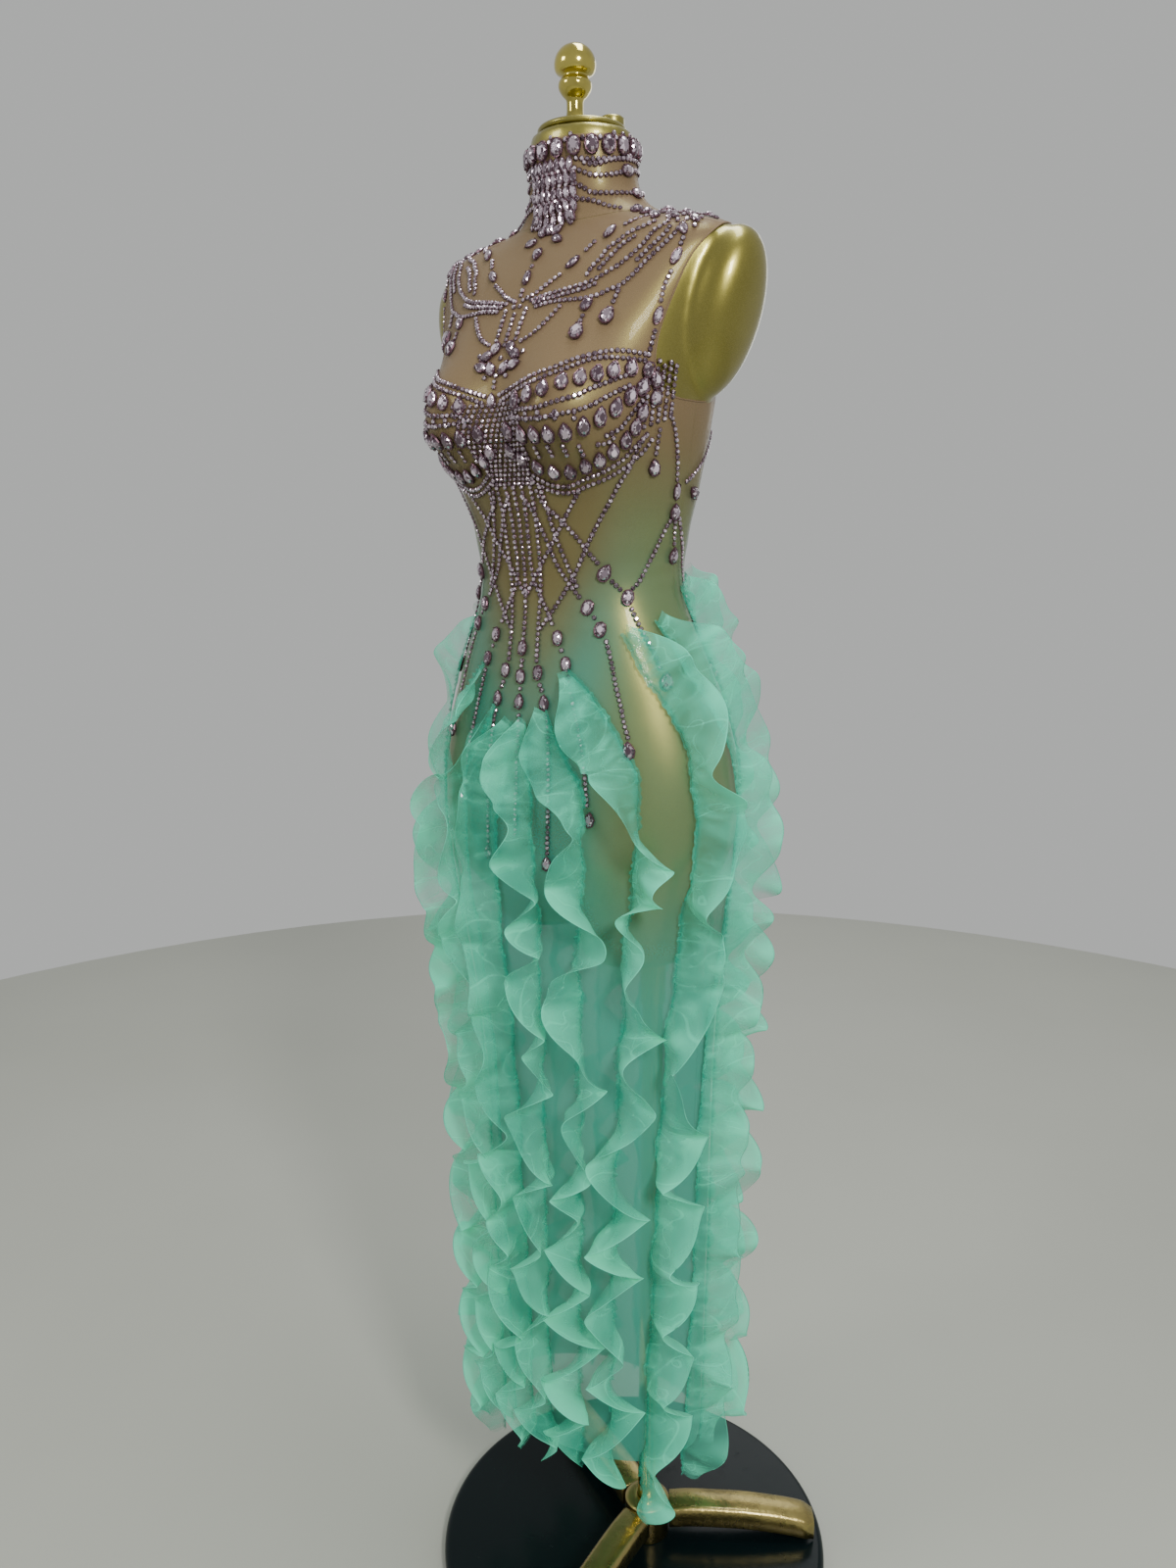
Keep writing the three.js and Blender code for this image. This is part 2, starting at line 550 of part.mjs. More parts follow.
// ---------------------------------------------------------------- floor stand
const discProfile = [[0, 0], [DISC.radius - DISC.edge, 0], [DISC.radius, DISC.edge],
  [DISC.radius, DISC.height - DISC.edge], [DISC.radius - DISC.edge, DISC.height], [0, DISC.height]];
const disc = add('base_disc', turned(discProfile, 44), 'disc');
disc.position.set(DISC.x, DISC.y, 0);

const hubFoot = DISC.height + SEAM;
add('base_hub', turned([[bore, hubFoot], [HUB.radius, hubFoot], [HUB.radius, HUB.top - 4],
  [HUB.radius - 6, HUB.top], [bore, HUB.top], [bore, hubFoot]], 18), 'brass');

// A leg is an upturned channel that runs out from the hub and bends down to the disc's rim.
function leg(turn, reach) {
  const foot = hubFoot + LEG.height;
  const path = [[HUB.radius + SEAM, 64], [60, 66], [120, 64], [reach - 40, 58], [reach - 14, 52],
    [reach - 4, foot + 2]];
  const half = LEG.width / 2;
  const inside = half - LEG.wall;
  const section = [[-half, -LEG.height], [-half, -4], [-half + 6, 0], [half - 6, 0], [half, -4],
    [half, -LEG.height], [inside, -LEG.height], [inside, -LEG.wall], [-inside, -LEG.wall],
    [-inside, -LEG.height]];
  const rings = path.map(([out, top]) => section.map(([side, drop]) => {
    const point = new THREE.Vector3(out, side * (out > reach - 10 ? 0.72 : 1), top + drop);
    return point.applyAxisAngle(new THREE.Vector3(0, 0, 1), radians(turn));
  }));
  return channel(rings);
}

// A channel swept through rings of ten points, its two ends closed as the three walls of the channel.
function channel(rings) {
  const sides = rings[0].length;
  const points = rings.flat();
  const triangles = [];
  for (let k = 0; k < rings.length - 1; k += 1) {
    for (let i = 0; i < sides; i += 1) {
      const next = (i + 1) % sides;
      triangles.push(...quad(k * sides + i, k * sides + next, (k + 1) * sides + next, (k + 1) * sides + i));
    }
  }
  const outline = rings[0].map((_, i) => i);
  const flat = [[0, 1, 8], [0, 8, 9], [1, 2, 8], [2, 3, 8], [3, 7, 8], [3, 4, 7], [4, 5, 7], [5, 6, 7]];
  const last = (rings.length - 1) * sides;
  for (const [a, b, c] of flat) {
    triangles.push([outline[a], outline[c], outline[b]]);
    triangles.push([last + a, last + b, last + c]);
  }
  return geometryFrom(points, triangles);
}

// Each leg reaches the same way in from the rim of the disc, which lies a little off the pole.
LEG.turns.forEach((turn, index) => {
  const direction = new THREE.Vector2(Math.cos(radians(turn)), Math.sin(radians(turn)));
  const centre = new THREE.Vector2(DISC.x, DISC.y);
  const along = centre.dot(direction);
  const aside = centre.clone().addScaledVector(direction, -along).length();
  const rim = along + Math.sqrt(DISC.radius ** 2 - aside ** 2);
  add(`base_leg_${index + 1}`, leg(turn, rim - 8), 'brass');
});

export default dress;
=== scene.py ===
"""A rhinestone stage dress of sheer stretch mesh and tulle, worn by a gold display form.

Sizes in the tables are in millimetres in the part's own frame: +Z up, the front of the dress faces
-Y, the wearer's left is +X and the origin is on the floor under the pole. Meshes are in metres.
"""
import math

import bmesh
import bpy
import numpy as np
from mathutils import Matrix, Vector


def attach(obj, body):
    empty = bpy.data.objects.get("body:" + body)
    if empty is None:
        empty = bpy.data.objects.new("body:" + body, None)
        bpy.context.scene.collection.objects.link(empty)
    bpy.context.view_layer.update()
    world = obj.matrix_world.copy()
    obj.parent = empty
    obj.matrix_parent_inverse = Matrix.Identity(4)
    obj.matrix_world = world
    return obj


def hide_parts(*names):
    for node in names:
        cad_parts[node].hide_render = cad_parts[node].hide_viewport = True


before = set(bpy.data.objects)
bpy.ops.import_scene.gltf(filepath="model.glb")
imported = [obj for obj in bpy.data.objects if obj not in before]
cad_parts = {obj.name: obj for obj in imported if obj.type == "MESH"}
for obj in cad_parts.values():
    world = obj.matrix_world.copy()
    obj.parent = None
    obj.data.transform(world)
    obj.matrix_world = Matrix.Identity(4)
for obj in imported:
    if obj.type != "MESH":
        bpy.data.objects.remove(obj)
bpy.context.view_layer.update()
MM = 0.001

# ------------------------------------------------------------------ the camera
CAMERA = dict(azimuth=38.0, away=1249, height=1220, pole_right=73, pitch=11.6, focal_px=1202)
IMAGE = dict(width=1200, height=1600)
SENSOR = 36.0


def make_camera():
    """The camera looks down a little at the front left of the dress."""
    turn = math.radians(CAMERA["azimuth"])
    pitch = math.radians(CAMERA["pitch"])
    ahead = Vector((-math.sin(turn), math.cos(turn), 0))
    right = Vector((math.cos(turn), math.sin(turn), 0))
    eye = (-ahead * CAMERA["away"] - right * CAMERA["pole_right"] + Vector((0, 0, CAMERA["height"]))) * MM
    look = ahead * math.cos(pitch) - Vector((0, 0, math.sin(pitch)))
    up = right.cross(look)
    data = bpy.data.cameras.new("camera")
    data.sensor_width = SENSOR
    data.lens = CAMERA["focal_px"] / IMAGE["height"] * SENSOR
    camera = bpy.data.objects.new("camera", data)
    camera.matrix_world = Matrix.Translation(eye) @ Matrix((right, up, -look)).transposed().to_4x4()
    bpy.context.collection.objects.link(camera)
    bpy.context.scene.camera = camera


make_camera()

# ------------------------------------------------------------------ the figure under the cloth
# z height, cx cy centre, half width, front and back depth, tilt (front edge drop), square corner
SECTIONS = np.array([
    (168, -66, -7, 122, 108, 112, -28, 1.00),
    (420, -68, -7, 128, 114, 116, 0, 1.00),
    (640, -74, -7, 136, 116, 124, 0, 1.00),
    (770, -84, -7, 154, 116, 142, 0, 1.00),
    (880, -94, -7, 174, 114, 160, 0, 1.00),
    (975, -97, -7, 180, 108, 162, 0, 1.00),
    (1070, -97, -7, 155, 100, 130, 0, 1.00),
    (1166, -97, -7, 120, 90, 92, 0, 1.00),
    (1225, -97, -7, 124, 96, 90, 0, 1.00),
    (1275, -97, -7, 133, 105, 98, 0, 0.95),
    (1350, -97, -7, 144, 121, 113, 0, 0.92),
    (1410, -97, -7, 152, 112, 112, 0, 0.88),
    (1474, -97, -4, 168, 88, 96, 4, 0.86),
    (1513, -97, -1, 174, 66, 72, 6, 0.90),
    (1530, -97, 1, 134, 56, 62, 8, 0.95),
    (1543, -97, 1, 82, 52, 56, 12, 1.00),
    (1564, -97, -1, 60, 50, 53, 9, 1.00),
    (1590, -97, -3, 56, 50, 51, 5, 1.00),
    (1614, -97, -4, 55, 50, 50, 4, 1.00),
], float)
LAST_LEVEL = len(SECTIONS) - 1
COLLAR_LEVEL = 15
CUP = dict(across=72, z=1336, push=40, wide=46, below=38, above=52, splay=0.15)
CENTRE_X = -97
CLOTH_OUT = 1.2
STONE_SEAT = 1.9
ARMHOLE = dict(y=4, z=1438, forward=62, backward=76, tall=82, corner=0.66, slant=0.28, across=104)
ARM_STUB = dict(across=156, y=10, z=1437, wide=40, deep=47, tall=80, slant=0.28)
NECK_TOP = 1624


def section_at(level):
    """The eight section values between two rows, by a smooth curve through the rows around them."""
    level = np.clip(np.asarray(level, float), 0, LAST_LEVEL - 1e-9)
    row = np.floor(level).astype(int)
    u = (level - row)[..., None]
    here, after = SECTIONS[row], SECTIONS[row + 1]
    before = np.where((row == 0)[..., None], 2 * here - after, SECTIONS[np.maximum(row - 1, 0)])
    far = SECTIONS[np.minimum(row + 2, LAST_LEVEL)]
    far = np.where((row == LAST_LEVEL - 1)[..., None], 2 * after - here, far)
    slope_in, slope_out = (after - before) / 2, (far - here) / 2
    return (here * (2 * u**3 - 3 * u**2 + 1) + slope_in * (u**3 - 2 * u**2 + u)
            + after * (3 * u**2 - 2 * u**3) + slope_out * (u**3 - u**2))


LEVEL_STEPS = np.linspace(0, LAST_LEVEL, 4001)
LEVEL_HEIGHTS = section_at(LEVEL_STEPS)[:, 0]


def level_at(height):
    return np.interp(height, LEVEL_HEIGHTS, LEVEL_STEPS)


def power(value, exponent):
    return np.sign(value) * np.abs(value) ** exponent


def figure(turn, level):
    """Points of the figure in mm: turn 0 is centre front, 90 the wearer's left side."""
    turn, level = np.broadcast_arrays(np.asarray(turn, float), np.asarray(level, float))
    z, cx, cy, half, front, back, tilt, square = np.moveaxis(section_at(level), -1, 0)
    across = power(np.sin(np.radians(turn)), square)
    ahead = power(np.cos(np.radians(turn)), square)
    depth = back + (front - back) * (0.5 + 0.5 * np.tanh(ahead * 3))
    x, y, z = cx + half * across, cy - depth * ahead, z - tilt * ahead
    facing = np.clip(ahead * 1.6, 0, 1)
    for side in (-1, 1):
        dx, dz = x - cx - side * CUP["across"], z - CUP["z"]
        tall = np.where(dz < 0, CUP["below"], CUP["above"])
        push = CUP["push"] * facing * np.exp(-(dx / CUP["wide"]) ** 2 / 1.6 - (dz / tall) ** 2 / 1.4)
        y = y - push
        x = x + side * CUP["splay"] * push
    return np.stack([x, y, z], -1)


def unit(vectors):
    return vectors / np.maximum(np.linalg.norm(vectors, axis=-1, keepdims=True), 1e-9)


def run_length(points):
    """How far along its line each point lies."""
    return np.concatenate([[0], np.cumsum(np.linalg.norm(np.diff(points, axis=0), axis=1))])


def figure_normal(turn, level):
    level = np.asarray(level, float)
    around = figure(turn + 0.1, level) - figure(turn - 0.1, level)
    up = figure(turn, np.minimum(level + 0.01, LAST_LEVEL)) - figure(turn, np.maximum(level - 0.01, 0))
    return unit(np.cross(around, up))


def off_figure(turn, level, out):
    return figure(turn, level) + figure_normal(turn, level) * np.asarray(out, float)[..., None]


def on_figure(turn, height, out):
    """The same by height, which may run on below the hem."""
    height = np.asarray(height, float)
    points = off_figure(turn, level_at(height), out)
    points[..., 2] += np.minimum(height - SECTIONS[0, 0], 0)
    return points


# ------------------------------------------------------------------ meshes
def make_object(name, points, faces, material, smooth=True, uv=None, painted_light=None):
    """An object from points in mm. uv holds a pair for each point; the last argument holds a grey of painted
    light and shade for each point or face.
    """
    mesh = bpy.data.meshes.new(name)
    mesh.from_pydata((np.asarray(points) * MM).tolist(), [], [list(map(int, face)) for face in faces])
    mesh.update()
    mesh.polygons.foreach_set("use_smooth", [smooth] * len(mesh.polygons))
    corners = np.empty(len(mesh.loops), int)
    mesh.loops.foreach_get("vertex_index", corners)
    if uv is not None:
        layer = mesh.uv_layers.new(name="strip")
        layer.data.foreach_set("uv", np.asarray(uv, float)[corners].ravel())
    if painted_light is not None:
        layer = mesh.color_attributes.new("painted_light", "FLOAT_COLOR", "CORNER")
        by_face = len(painted_light) == len(faces)
        spread = np.repeat(painted_light, [len(face) for face in faces]) if by_face else np.asarray(painted_light)[corners]
        grey = np.repeat(spread[:, None], 4, 1)
        grey[:, 3] = 1
        layer.data.foreach_set("color", grey.ravel())
    for finish in material if isinstance(material, (list, tuple)) else [material]:
        mesh.materials.append(finish)
    piece = bpy.data.objects.new(name, mesh)
    bpy.context.collection.objects.link(piece)
    return piece


def grid_faces(columns, rows, start=0, around=False):
    """Faces of a grid whose points run row by row within each column."""
    last = columns if around else columns - 1
    i, j = np.meshgrid(np.arange(last), np.arange(rows - 1), indexing="ij")
    i, j = i.ravel(), j.ravel()
    k = (i + 1) % columns
    return np.stack([i * rows + j, k * rows + j, k * rows + j + 1, i * rows + j + 1], -1) + start


def band_faces(low, high, count):
    """Faces between two rings of count points, which start at the points low and high."""
    return [[low + j, low + (j + 1) % count, high + (j + 1) % count, high + j] for j in range(count)]


def lathe(profile, sides=96):
    """Points and faces of a turned solid from (radius, z) pairs, closed on its axis at both ends."""
    profile = np.array(profile, float)
    angle = np.linspace(0, 2 * np.pi, sides, endpoint=False)
    ring = np.stack([np.cos(angle), np.sin(angle)], -1)
    points = np.concatenate([
        np.concatenate([ring[:, None] * profile[None, :, :1], np.broadcast_to(
            profile[None, :, 1:], (sides, len(profile), 1))], -1).reshape(-1, 3),
        [(0, 0, profile[0, 1]), (0, 0, profile[-1, 1])]])
    rows = len(profile)
    faces = grid_faces(sides, rows, around=True).tolist()
    for i in range(sides):
        k = (i + 1) % sides
        faces.append([k * rows, i * rows, sides * rows])
        faces.append([i * rows + rows - 1, k * rows + rows - 1, sides * rows + 1])
    return points, faces


def rounded_profile(corners, radius=1.5, steps=3):
    """A turned profile with every inner corner eased by a short arc."""
    corners = [np.array(c, float) for c in corners]
    eased = [corners[0]]
    for before, corner, after in zip(corners, corners[1:], corners[2:]):
        back, ahead = before - corner, after - corner
        reach = min(radius, np.linalg.norm(back) * 0.45, np.linalg.norm(ahead) * 0.45)
        start = corner + back / np.linalg.norm(back) * reach
        end = corner + ahead / np.linalg.norm(ahead) * reach
        for k in range(steps + 1):
            u = k / steps
            eased.append(start * (1 - u) ** 2 + corner * 2 * u * (1 - u) + end * u**2)
    eased.append(corners[-1])
    return eased


# ------------------------------------------------------------------ shader maths
class Number:
    """A number in a shader tree. Sums and products of numbers add the Math nodes they need."""

    def __init__(self, finish, socket):
        self.finish, self.socket = finish, socket

    def _math(self, operation, *values, clamp=False):
        node = self.finish.node("ShaderNodeMath", dict(operation=operation, use_clamp=clamp),
                                {index: value for index, value in enumerate(values)})
        return Number(self.finish, node.outputs[0])

    def __add__(self, other):
        return self._math("ADD", self, other)

    __radd__ = __add__

    def __sub__(self, other):
        return self._math("SUBTRACT", self, other)

    def __rsub__(self, other):
        return self._math("SUBTRACT", other, self)

    def __mul__(self, other):
        return self._math("MULTIPLY", self, other)

    __rmul__ = __mul__

    def size(self):
        return self._math("ABSOLUTE", self)

    def clamped(self):
        return self._math("ADD", self, 0.0, clamp=True)

    def step(self, low, high):
        """0 at low to 1 at high, eased at both ends."""
        node = self.finish.node("ShaderNodeMapRange", dict(interpolation_type="SMOOTHSTEP"),
                                {"Value": self, "From Min": low, "From Max": high})
        return Number(self.finish, node.outputs[0])


class Finish:
    """A material with one Principled shader, built node by node."""

    def __init__(self, name, **constants):
        self.material = bpy.data.materials.new(name)
        self.material.use_nodes = True
        self.tree = self.material.node_tree
        self.tree.nodes.clear()
        self.shader = self.node("ShaderNodeBsdfPrincipled", {}, {})
        output = self.node("ShaderNodeOutputMaterial", {}, {})
        self.tree.links.new(self.shader.outputs[0], output.inputs["Surface"])
        self.set(**constants)

    def node(self, kind, settings, sockets):
        """Adds a node: its settings first, then the values or links of its sockets."""
        node = self.tree.nodes.new(kind)
        for key, value in settings.items():
            setattr(node, key, value)
        for key, value in sockets.items():
            if isinstance(value, Number):
                value = value.socket
            if isinstance(value, bpy.types.NodeSocket):
                self.tree.links.new(value, node.inputs[key])
            else:
                node.inputs[key].default_value = value
        return node

    def set(self, **sockets):
        """Sets the shader's own sockets, named in lower case with _ for a space."""
        for key, value in sockets.items():
            socket = self.shader.inputs[key.replace("_", " ").title().replace("Ior", "IOR")]
            if isinstance(value, Number):
                value = value.socket
            if isinstance(value, bpy.types.NodeSocket):
                self.tree.links.new(value, socket)
            elif isinstance(value, tuple) and len(value) == 3:
                socket.default_value = (*value, 1)
            else:
                socket.default_value = value

    def place(self):
        """Where a point is on the object, in metres, as three numbers."""
        coordinates = self.node("ShaderNodeTexCoord", {}, {}).outputs["Object"]
        split = self.node("ShaderNodeSeparateXYZ", {}, {0: coordinates})
        return [Number(self, out) for out in split.outputs]

    def strip(self):
        """Where a point is on a strip: metres along it, and metres across it."""
        uv = self.node("ShaderNodeUVMap", dict(uv_map="strip"), {}).outputs[0]
        split = self.node("ShaderNodeSeparateXYZ", {}, {0: uv})
        return Number(self, split.outputs[0]), Number(self, split.outputs[1])

    def noise(self, scale, detail=3.0, roughness=0.5, at=None):
        vector = at or self.node("ShaderNodeTexCoord", {}, {}).outputs["Object"]
        node = self.node("ShaderNodeTexNoise", {}, {"Vector": vector, "Scale": scale, "Detail": detail,
                                                    "Roughness": roughness})
        return Number(self, node.outputs[0])

    def joined(self, x, y, z=0.0):
        return self.node("ShaderNodeCombineXYZ", {}, {0: x, 1: y, 2: z}).outputs[0]

    def mixed(self, factor, low, high):
        """A colour between two colours, each a tuple or a socket."""
        node = self.node("ShaderNodeMix", dict(data_type="RGBA"), {0: factor})
        for index, colour in ((6, low), (7, high)):
            if isinstance(colour, bpy.types.NodeSocket):
                self.tree.links.new(colour, node.inputs[index])
            else:
                node.inputs[index].default_value = (*colour, 1)
        return node.outputs[2]

    def bump(self, height, distance, strength=1.0):
        node = self.node("ShaderNodeBump", {}, {"Height": height, "Distance": distance, "Strength": strength})
        self.tree.links.new(node.outputs[0], self.shader.inputs["Normal"])


# ------------------------------------------------------------------ finishes
STRIP_WIDE = 50
NUDE = (0.25, 0.17, 0.10)
NUDE_LOW = (0.20, 0.165, 0.085)
SEA_GREEN = (0.06, 0.38, 0.29)
HIP_GREEN = (0.17, 0.34, 0.19)


def stretch_mesh():
    """Sheer mesh shaded from nude at the chest to sea green, later at the centre front than aside."""
    finish = Finish("stretch_mesh", roughness=0.5, sheen_weight=0.08, sheen_roughness=0.4,
                    specular_ior_level=0.16)
    x, y, z = finish.place()
    aside = (x - CENTRE_X * MM).size()
    front = (y * -1.0).step(-0.02, 0.06)
    wander = (finish.noise(9.0, 2.0) - 0.5) * 0.05
    border = 1.075 + aside.step(0.02, 0.13) * front * 0.15 + (1.0 - front) * 0.14
    green = 1.0 - (z + wander - border).step(-0.09, 0.11)
    chest = z.step(1.22, 1.38)
    tan = finish.mixed(chest, NUDE_LOW, NUDE)
    hip = z.step(0.70, 0.95) * (1.0 - front * (1.0 - aside.step(0.06, 0.13)))
    teal = finish.mixed(hip, SEA_GREEN, HIP_GREEN)
    finish.set(base_color=finish.mixed(green, tan, teal))
    knit = finish.noise(900.0, 2.0, 0.6)
    skirt = 1.0 - z.step(0.70, 0.95)
    cover = 0.56 + chest * 0.08 - green * hip * 0.2 + skirt * 0.14 - (1.0 - chest) * (1.0 - green) * 0.08
    cover = cover + (knit - 0.5) * 0.12
    finish.set(alpha=cover)
    finish.bump(finish.noise(260.0, 3.0), 0.0004, 0.35)
    return finish.material


def tulle(name, light, dark):
    """Fine net folded double, close along its stitches. Its colour carries painted shade by the stitches and
    in soft drape bands, painted highlights where it creases, tucks, folds over and bends sharply, and a faint
    painted glow.
    """
    # A faint emission of the net's colour is a painted glow for light passing through it.
    finish = Finish(name, roughness=0.6, sheen_weight=0.08, sheen_roughness=0.4, specular_ior_level=0.15,
                    emission_strength=0.12)
    along, across = finish.strip()
    bend_highlight = Number(finish, finish.node("ShaderNodeAttribute", dict(attribute_name="painted_light"), {}).outputs["Fac"])
    # The drape noise bumps the net and also paints soft bands of shade and light across it.
    drape_bump_and_shade = finish.noise(1.0, 1.0, 0.5, at=finish.joined(along * 15.0, across * 7.0))
    pucker = finish.noise(1.0, 2.0, 0.5, at=finish.joined(along * 26.0, across * 13.0, 3.0))
    grain = finish.noise(1100.0, 1.0, 0.5)
    # The crease, tuck and fold-edge lines are thin painted highlights; the band by the stitches is denser and
    # painted in shade.
    crease = 1.0 - (drape_bump_and_shade - 0.5).size().step(0.001, 0.010)
    tuck_highlight = 1.0 - (pucker - 0.44).size().step(0.002, 0.011)
    from_fold = (across - STRIP_WIDE * MM).size()
    fold_edge_highlight = 1.0 - from_fold.step(0.0002, 0.0014)
    stitch_density_and_shade = from_fold.step(0.043, 0.050)
    # pale goes from the painted shade colour to the painted highlight colour.
    pale = ((drape_bump_and_shade - 0.5) * 1.3 + crease * 0.24 + tuck_highlight * 0.2 + fold_edge_highlight * 0.5 + bend_highlight * 0.7
            - stitch_density_and_shade * 0.4 + 0.42).clamped()
    colour = finish.mixed(pale, dark, light)
    # The same colour glows faintly as emission: painted glow.
    finish.set(base_color=colour, emission_color=colour)
    cover = ((drape_bump_and_shade - 0.5) * 0.4 + crease * 0.13 + tuck_highlight * 0.11 + fold_edge_highlight * 0.5 + bend_highlight * 0.5
             + stitch_density_and_shade * 0.28 + 0.18)
    finish.set(alpha=(cover + (grain - 0.5) * 0.10).clamped())
    finish.bump(drape_bump_and_shade, 0.0006, 0.25)
    return finish.material


def form_gold():
    """Metallic lacquer: a broad soft shine with fine flakes, under a clear coat."""
    finish = Finish("form_gold", metallic=0.85, roughness=0.33, coat_weight=0.5, coat_roughness=0.05)
    cloud = finish.noise(5.0, 4.0, 0.6)
    flake = finish.noise(1500.0, 1.0, 0.5)
    shade = (cloud * 0.6 + flake * 0.7).step(0.35, 0.95)
    finish.set(base_color=finish.mixed(shade, (0.20, 0.175, 0.030), (0.34, 0.30, 0.075)))
    finish.set(roughness=0.28 + cloud * 0.1)
    finish.bump(flake, 0.0002, 0.2)
    return finish.material


def plated_gold(name, base, rough, pitted):
    finish = Finish(name, metallic=1.0, roughness=rough, coat_weight=0.3, coat_roughness=0.05)
    cloud = finish.noise(26.0, 4.0, 0.6)
    dark = tuple(value * 0.55 for value in base)
    finish.set(base_color=finish.mixed(cloud.step(0.25, 0.6), dark, base))
    finish.set(roughness=rough + (cloud - 0.5) * 0.2)
    finish.bump(finish.noise(90.0, 4.0, 0.7), 0.0016 if pitted else 0.0003, 0.5 if pitted else 0.15)
    return finish.material


def black_gloss():
    finish = Finish("black_gloss", roughness=0.2, base_color=(0.003, 0.008, 0.009),
                    specular_ior_level=0.16)
    dust = finish.noise(60.0, 5.0, 0.7)
    smear = finish.noise(7.0, 3.0, 0.6)
    finish.set(roughness=0.14 + dust.step(0.5, 0.9) * 0.2 + smear * 0.12)
    return finish.material


def crystal(name, pale, deep):
    """Flat facets of a mirror-backed stone. A grey on each facet makes it lighter or darker: painted glints
    and painted shade.
    """
    finish = Finish(name, metallic=0.6, roughness=0.07, coat_weight=1.0, coat_roughness=0.02,
                    specular_ior_level=0.8)
    painted_light = Number(finish, finish.node("ShaderNodeAttribute", dict(attribute_name="painted_light"), {}).outputs["Fac"])
    finish.set(base_color=finish.mixed(painted_light, deep, pale))
    return finish.material


def setting_metal():
    finish = Finish("setting_metal", metallic=0.6, roughness=0.35)
    cloud = finish.noise(240.0, 3.0)
    finish.set(base_color=finish.mixed(cloud, (0.050, 0.020, 0.032), (0.19, 0.095, 0.13)))
    return finish.material


def plain_floor():
    finish = Finish("plain_floor", roughness=0.55)
    cloud = finish.noise(1.6, 4.0)
    finish.set(base_color=finish.mixed(cloud, (0.40, 0.41, 0.36), (0.46, 0.47, 0.42)))
    return finish.material


MESH_CLOTH = stretch_mesh()
# The net's sea green is spread into a painted highlight colour and a painted shade colour.
TULLE = tulle("sea_tulle", (0.125, 0.80, 0.54), (0.015, 0.34, 0.23))
FORM_GOLD = form_gold()
FINIAL_GOLD = plated_gold("finial_gold", (0.62, 0.52, 0.12), 0.12, False)
CAST_GOLD = plated_gold("cast_gold", (0.40, 0.32, 0.11), 0.28, True)
BLACK_GLOSS = black_gloss()
# The lilac stone's pale and deep colours are the painted highlight and painted shade ends of its facets.
CRYSTAL = crystal("lilac_crystal", (0.88, 0.74, 0.86), (0.075, 0.036, 0.060))
SETTING = setting_metal()
FLOOR = plain_floor()


def finished(piece, slot, *nodes):
    """Rides a piece on the one body and hides the solids that it stands for. slot is not used."""
    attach(piece, "root")
    if nodes:
        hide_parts(*nodes)
    return piece


# ------------------------------------------------------------------ mesh cloth
# Soft ridges in the mesh: where, which way (degrees off level), and how long, wide and high.
CREASES = [
    dict(turn=78, height=1196, way=24, length=70, wide=7, high=2.2),
    dict(turn=84, height=1180, way=18, length=84, wide=8, high=2.6),
    dict(turn=80, height=1163, way=12, length=76, wide=7, high=2.2),
    dict(turn=88, height=1148, way=6, length=62, wide=8, high=1.8),
    dict(turn=-80, height=1190, way=-20, length=72, wide=7, high=2.2),
    dict(turn=-86, height=1172, way=-12, length=80, wide=8, high=2.4),
    dict(turn=-82, height=1152, way=-6, length=60, wide=7, high=1.8),
    dict(turn=34, height=1149, way=-4, length=66, wide=6, high=1.6),
    dict(turn=30, height=1136, way=4, length=58, wide=6, high=1.4),
    dict(turn=-34, height=1146, way=4, length=62, wide=6, high=1.5),
    dict(turn=58, height=1446, way=64, length=84, wide=6, high=1.6),
    dict(turn=50, height=1432, way=60, length=70, wide=6, high=1.3),
    dict(turn=-58, height=1446, way=-64, length=84, wide=6, high=1.6),
    dict(turn=46, height=1534, way=-8, length=60, wide=5, high=1.6),
    dict(turn=-46, height=1534, way=8, length=60, wide=5, high=1.6),
    dict(turn=150, height=1180, way=-14, length=80, wide=8, high=2.0),
    dict(turn=-150, height=1176, way=14, length=80, wide=8, high=2.0),
    dict(turn=166, height=1158, way=-6, length=70, wide=8, high=1.6),
    dict(turn=-168, height=1154, way=6, length=70, wide=8, high=1.6),
]
CLOTH_PITCH = 4.5
COLLAR_PITCH = 2.5
PANEL_STEP = 1.9
SEAM_HALF = 0.15


def cloth_lift(turn, level, points):
    """How far the mesh stands off the figure: its creases, and slack folds down the skirt."""
    lift = np.full(turn.shape, CLOTH_OUT)
    for crease in CREASES:
        middle = figure(crease["turn"], level_at(crease["height"]))
        side = unit(figure(crease["turn"] + 0.5, level_at(crease["height"])) - middle)
        way = math.radians(crease["way"])
        away = points - middle
        run = (away @ side) * math.cos(way) + away[..., 2] * math.sin(way)
        off = -(away @ side) * math.sin(way) + away[..., 2] * math.cos(way)
        off = off + 5 * np.sin(run / crease["length"] * 3)
        near = (np.abs(away).max(-1) < crease["length"]).astype(float)
        lift += near * crease["high"] * np.exp(-(run * 2.2 / crease["length"]) ** 2
                                               - (off / crease["wide"]) ** 2)
    slack = np.clip((760 - points[..., 2]) / 500, 0, 1)
    folds = np.sin(np.radians(turn) * 7 + 0.8) + 0.6 * np.sin(np.radians(turn) * 12 + points[..., 2] / 300)
    return lift + slack * (1.2 + 0.7 * folds)


def even_levels(low, high, pitch):
    """Levels at an even spacing along the centre front."""
    levels = np.linspace(low, high, 2000)
    run = run_length(figure(np.zeros_like(levels), levels))
    return np.interp(np.linspace(0, run[-1], int(run[-1] / pitch) + 1), run, levels)


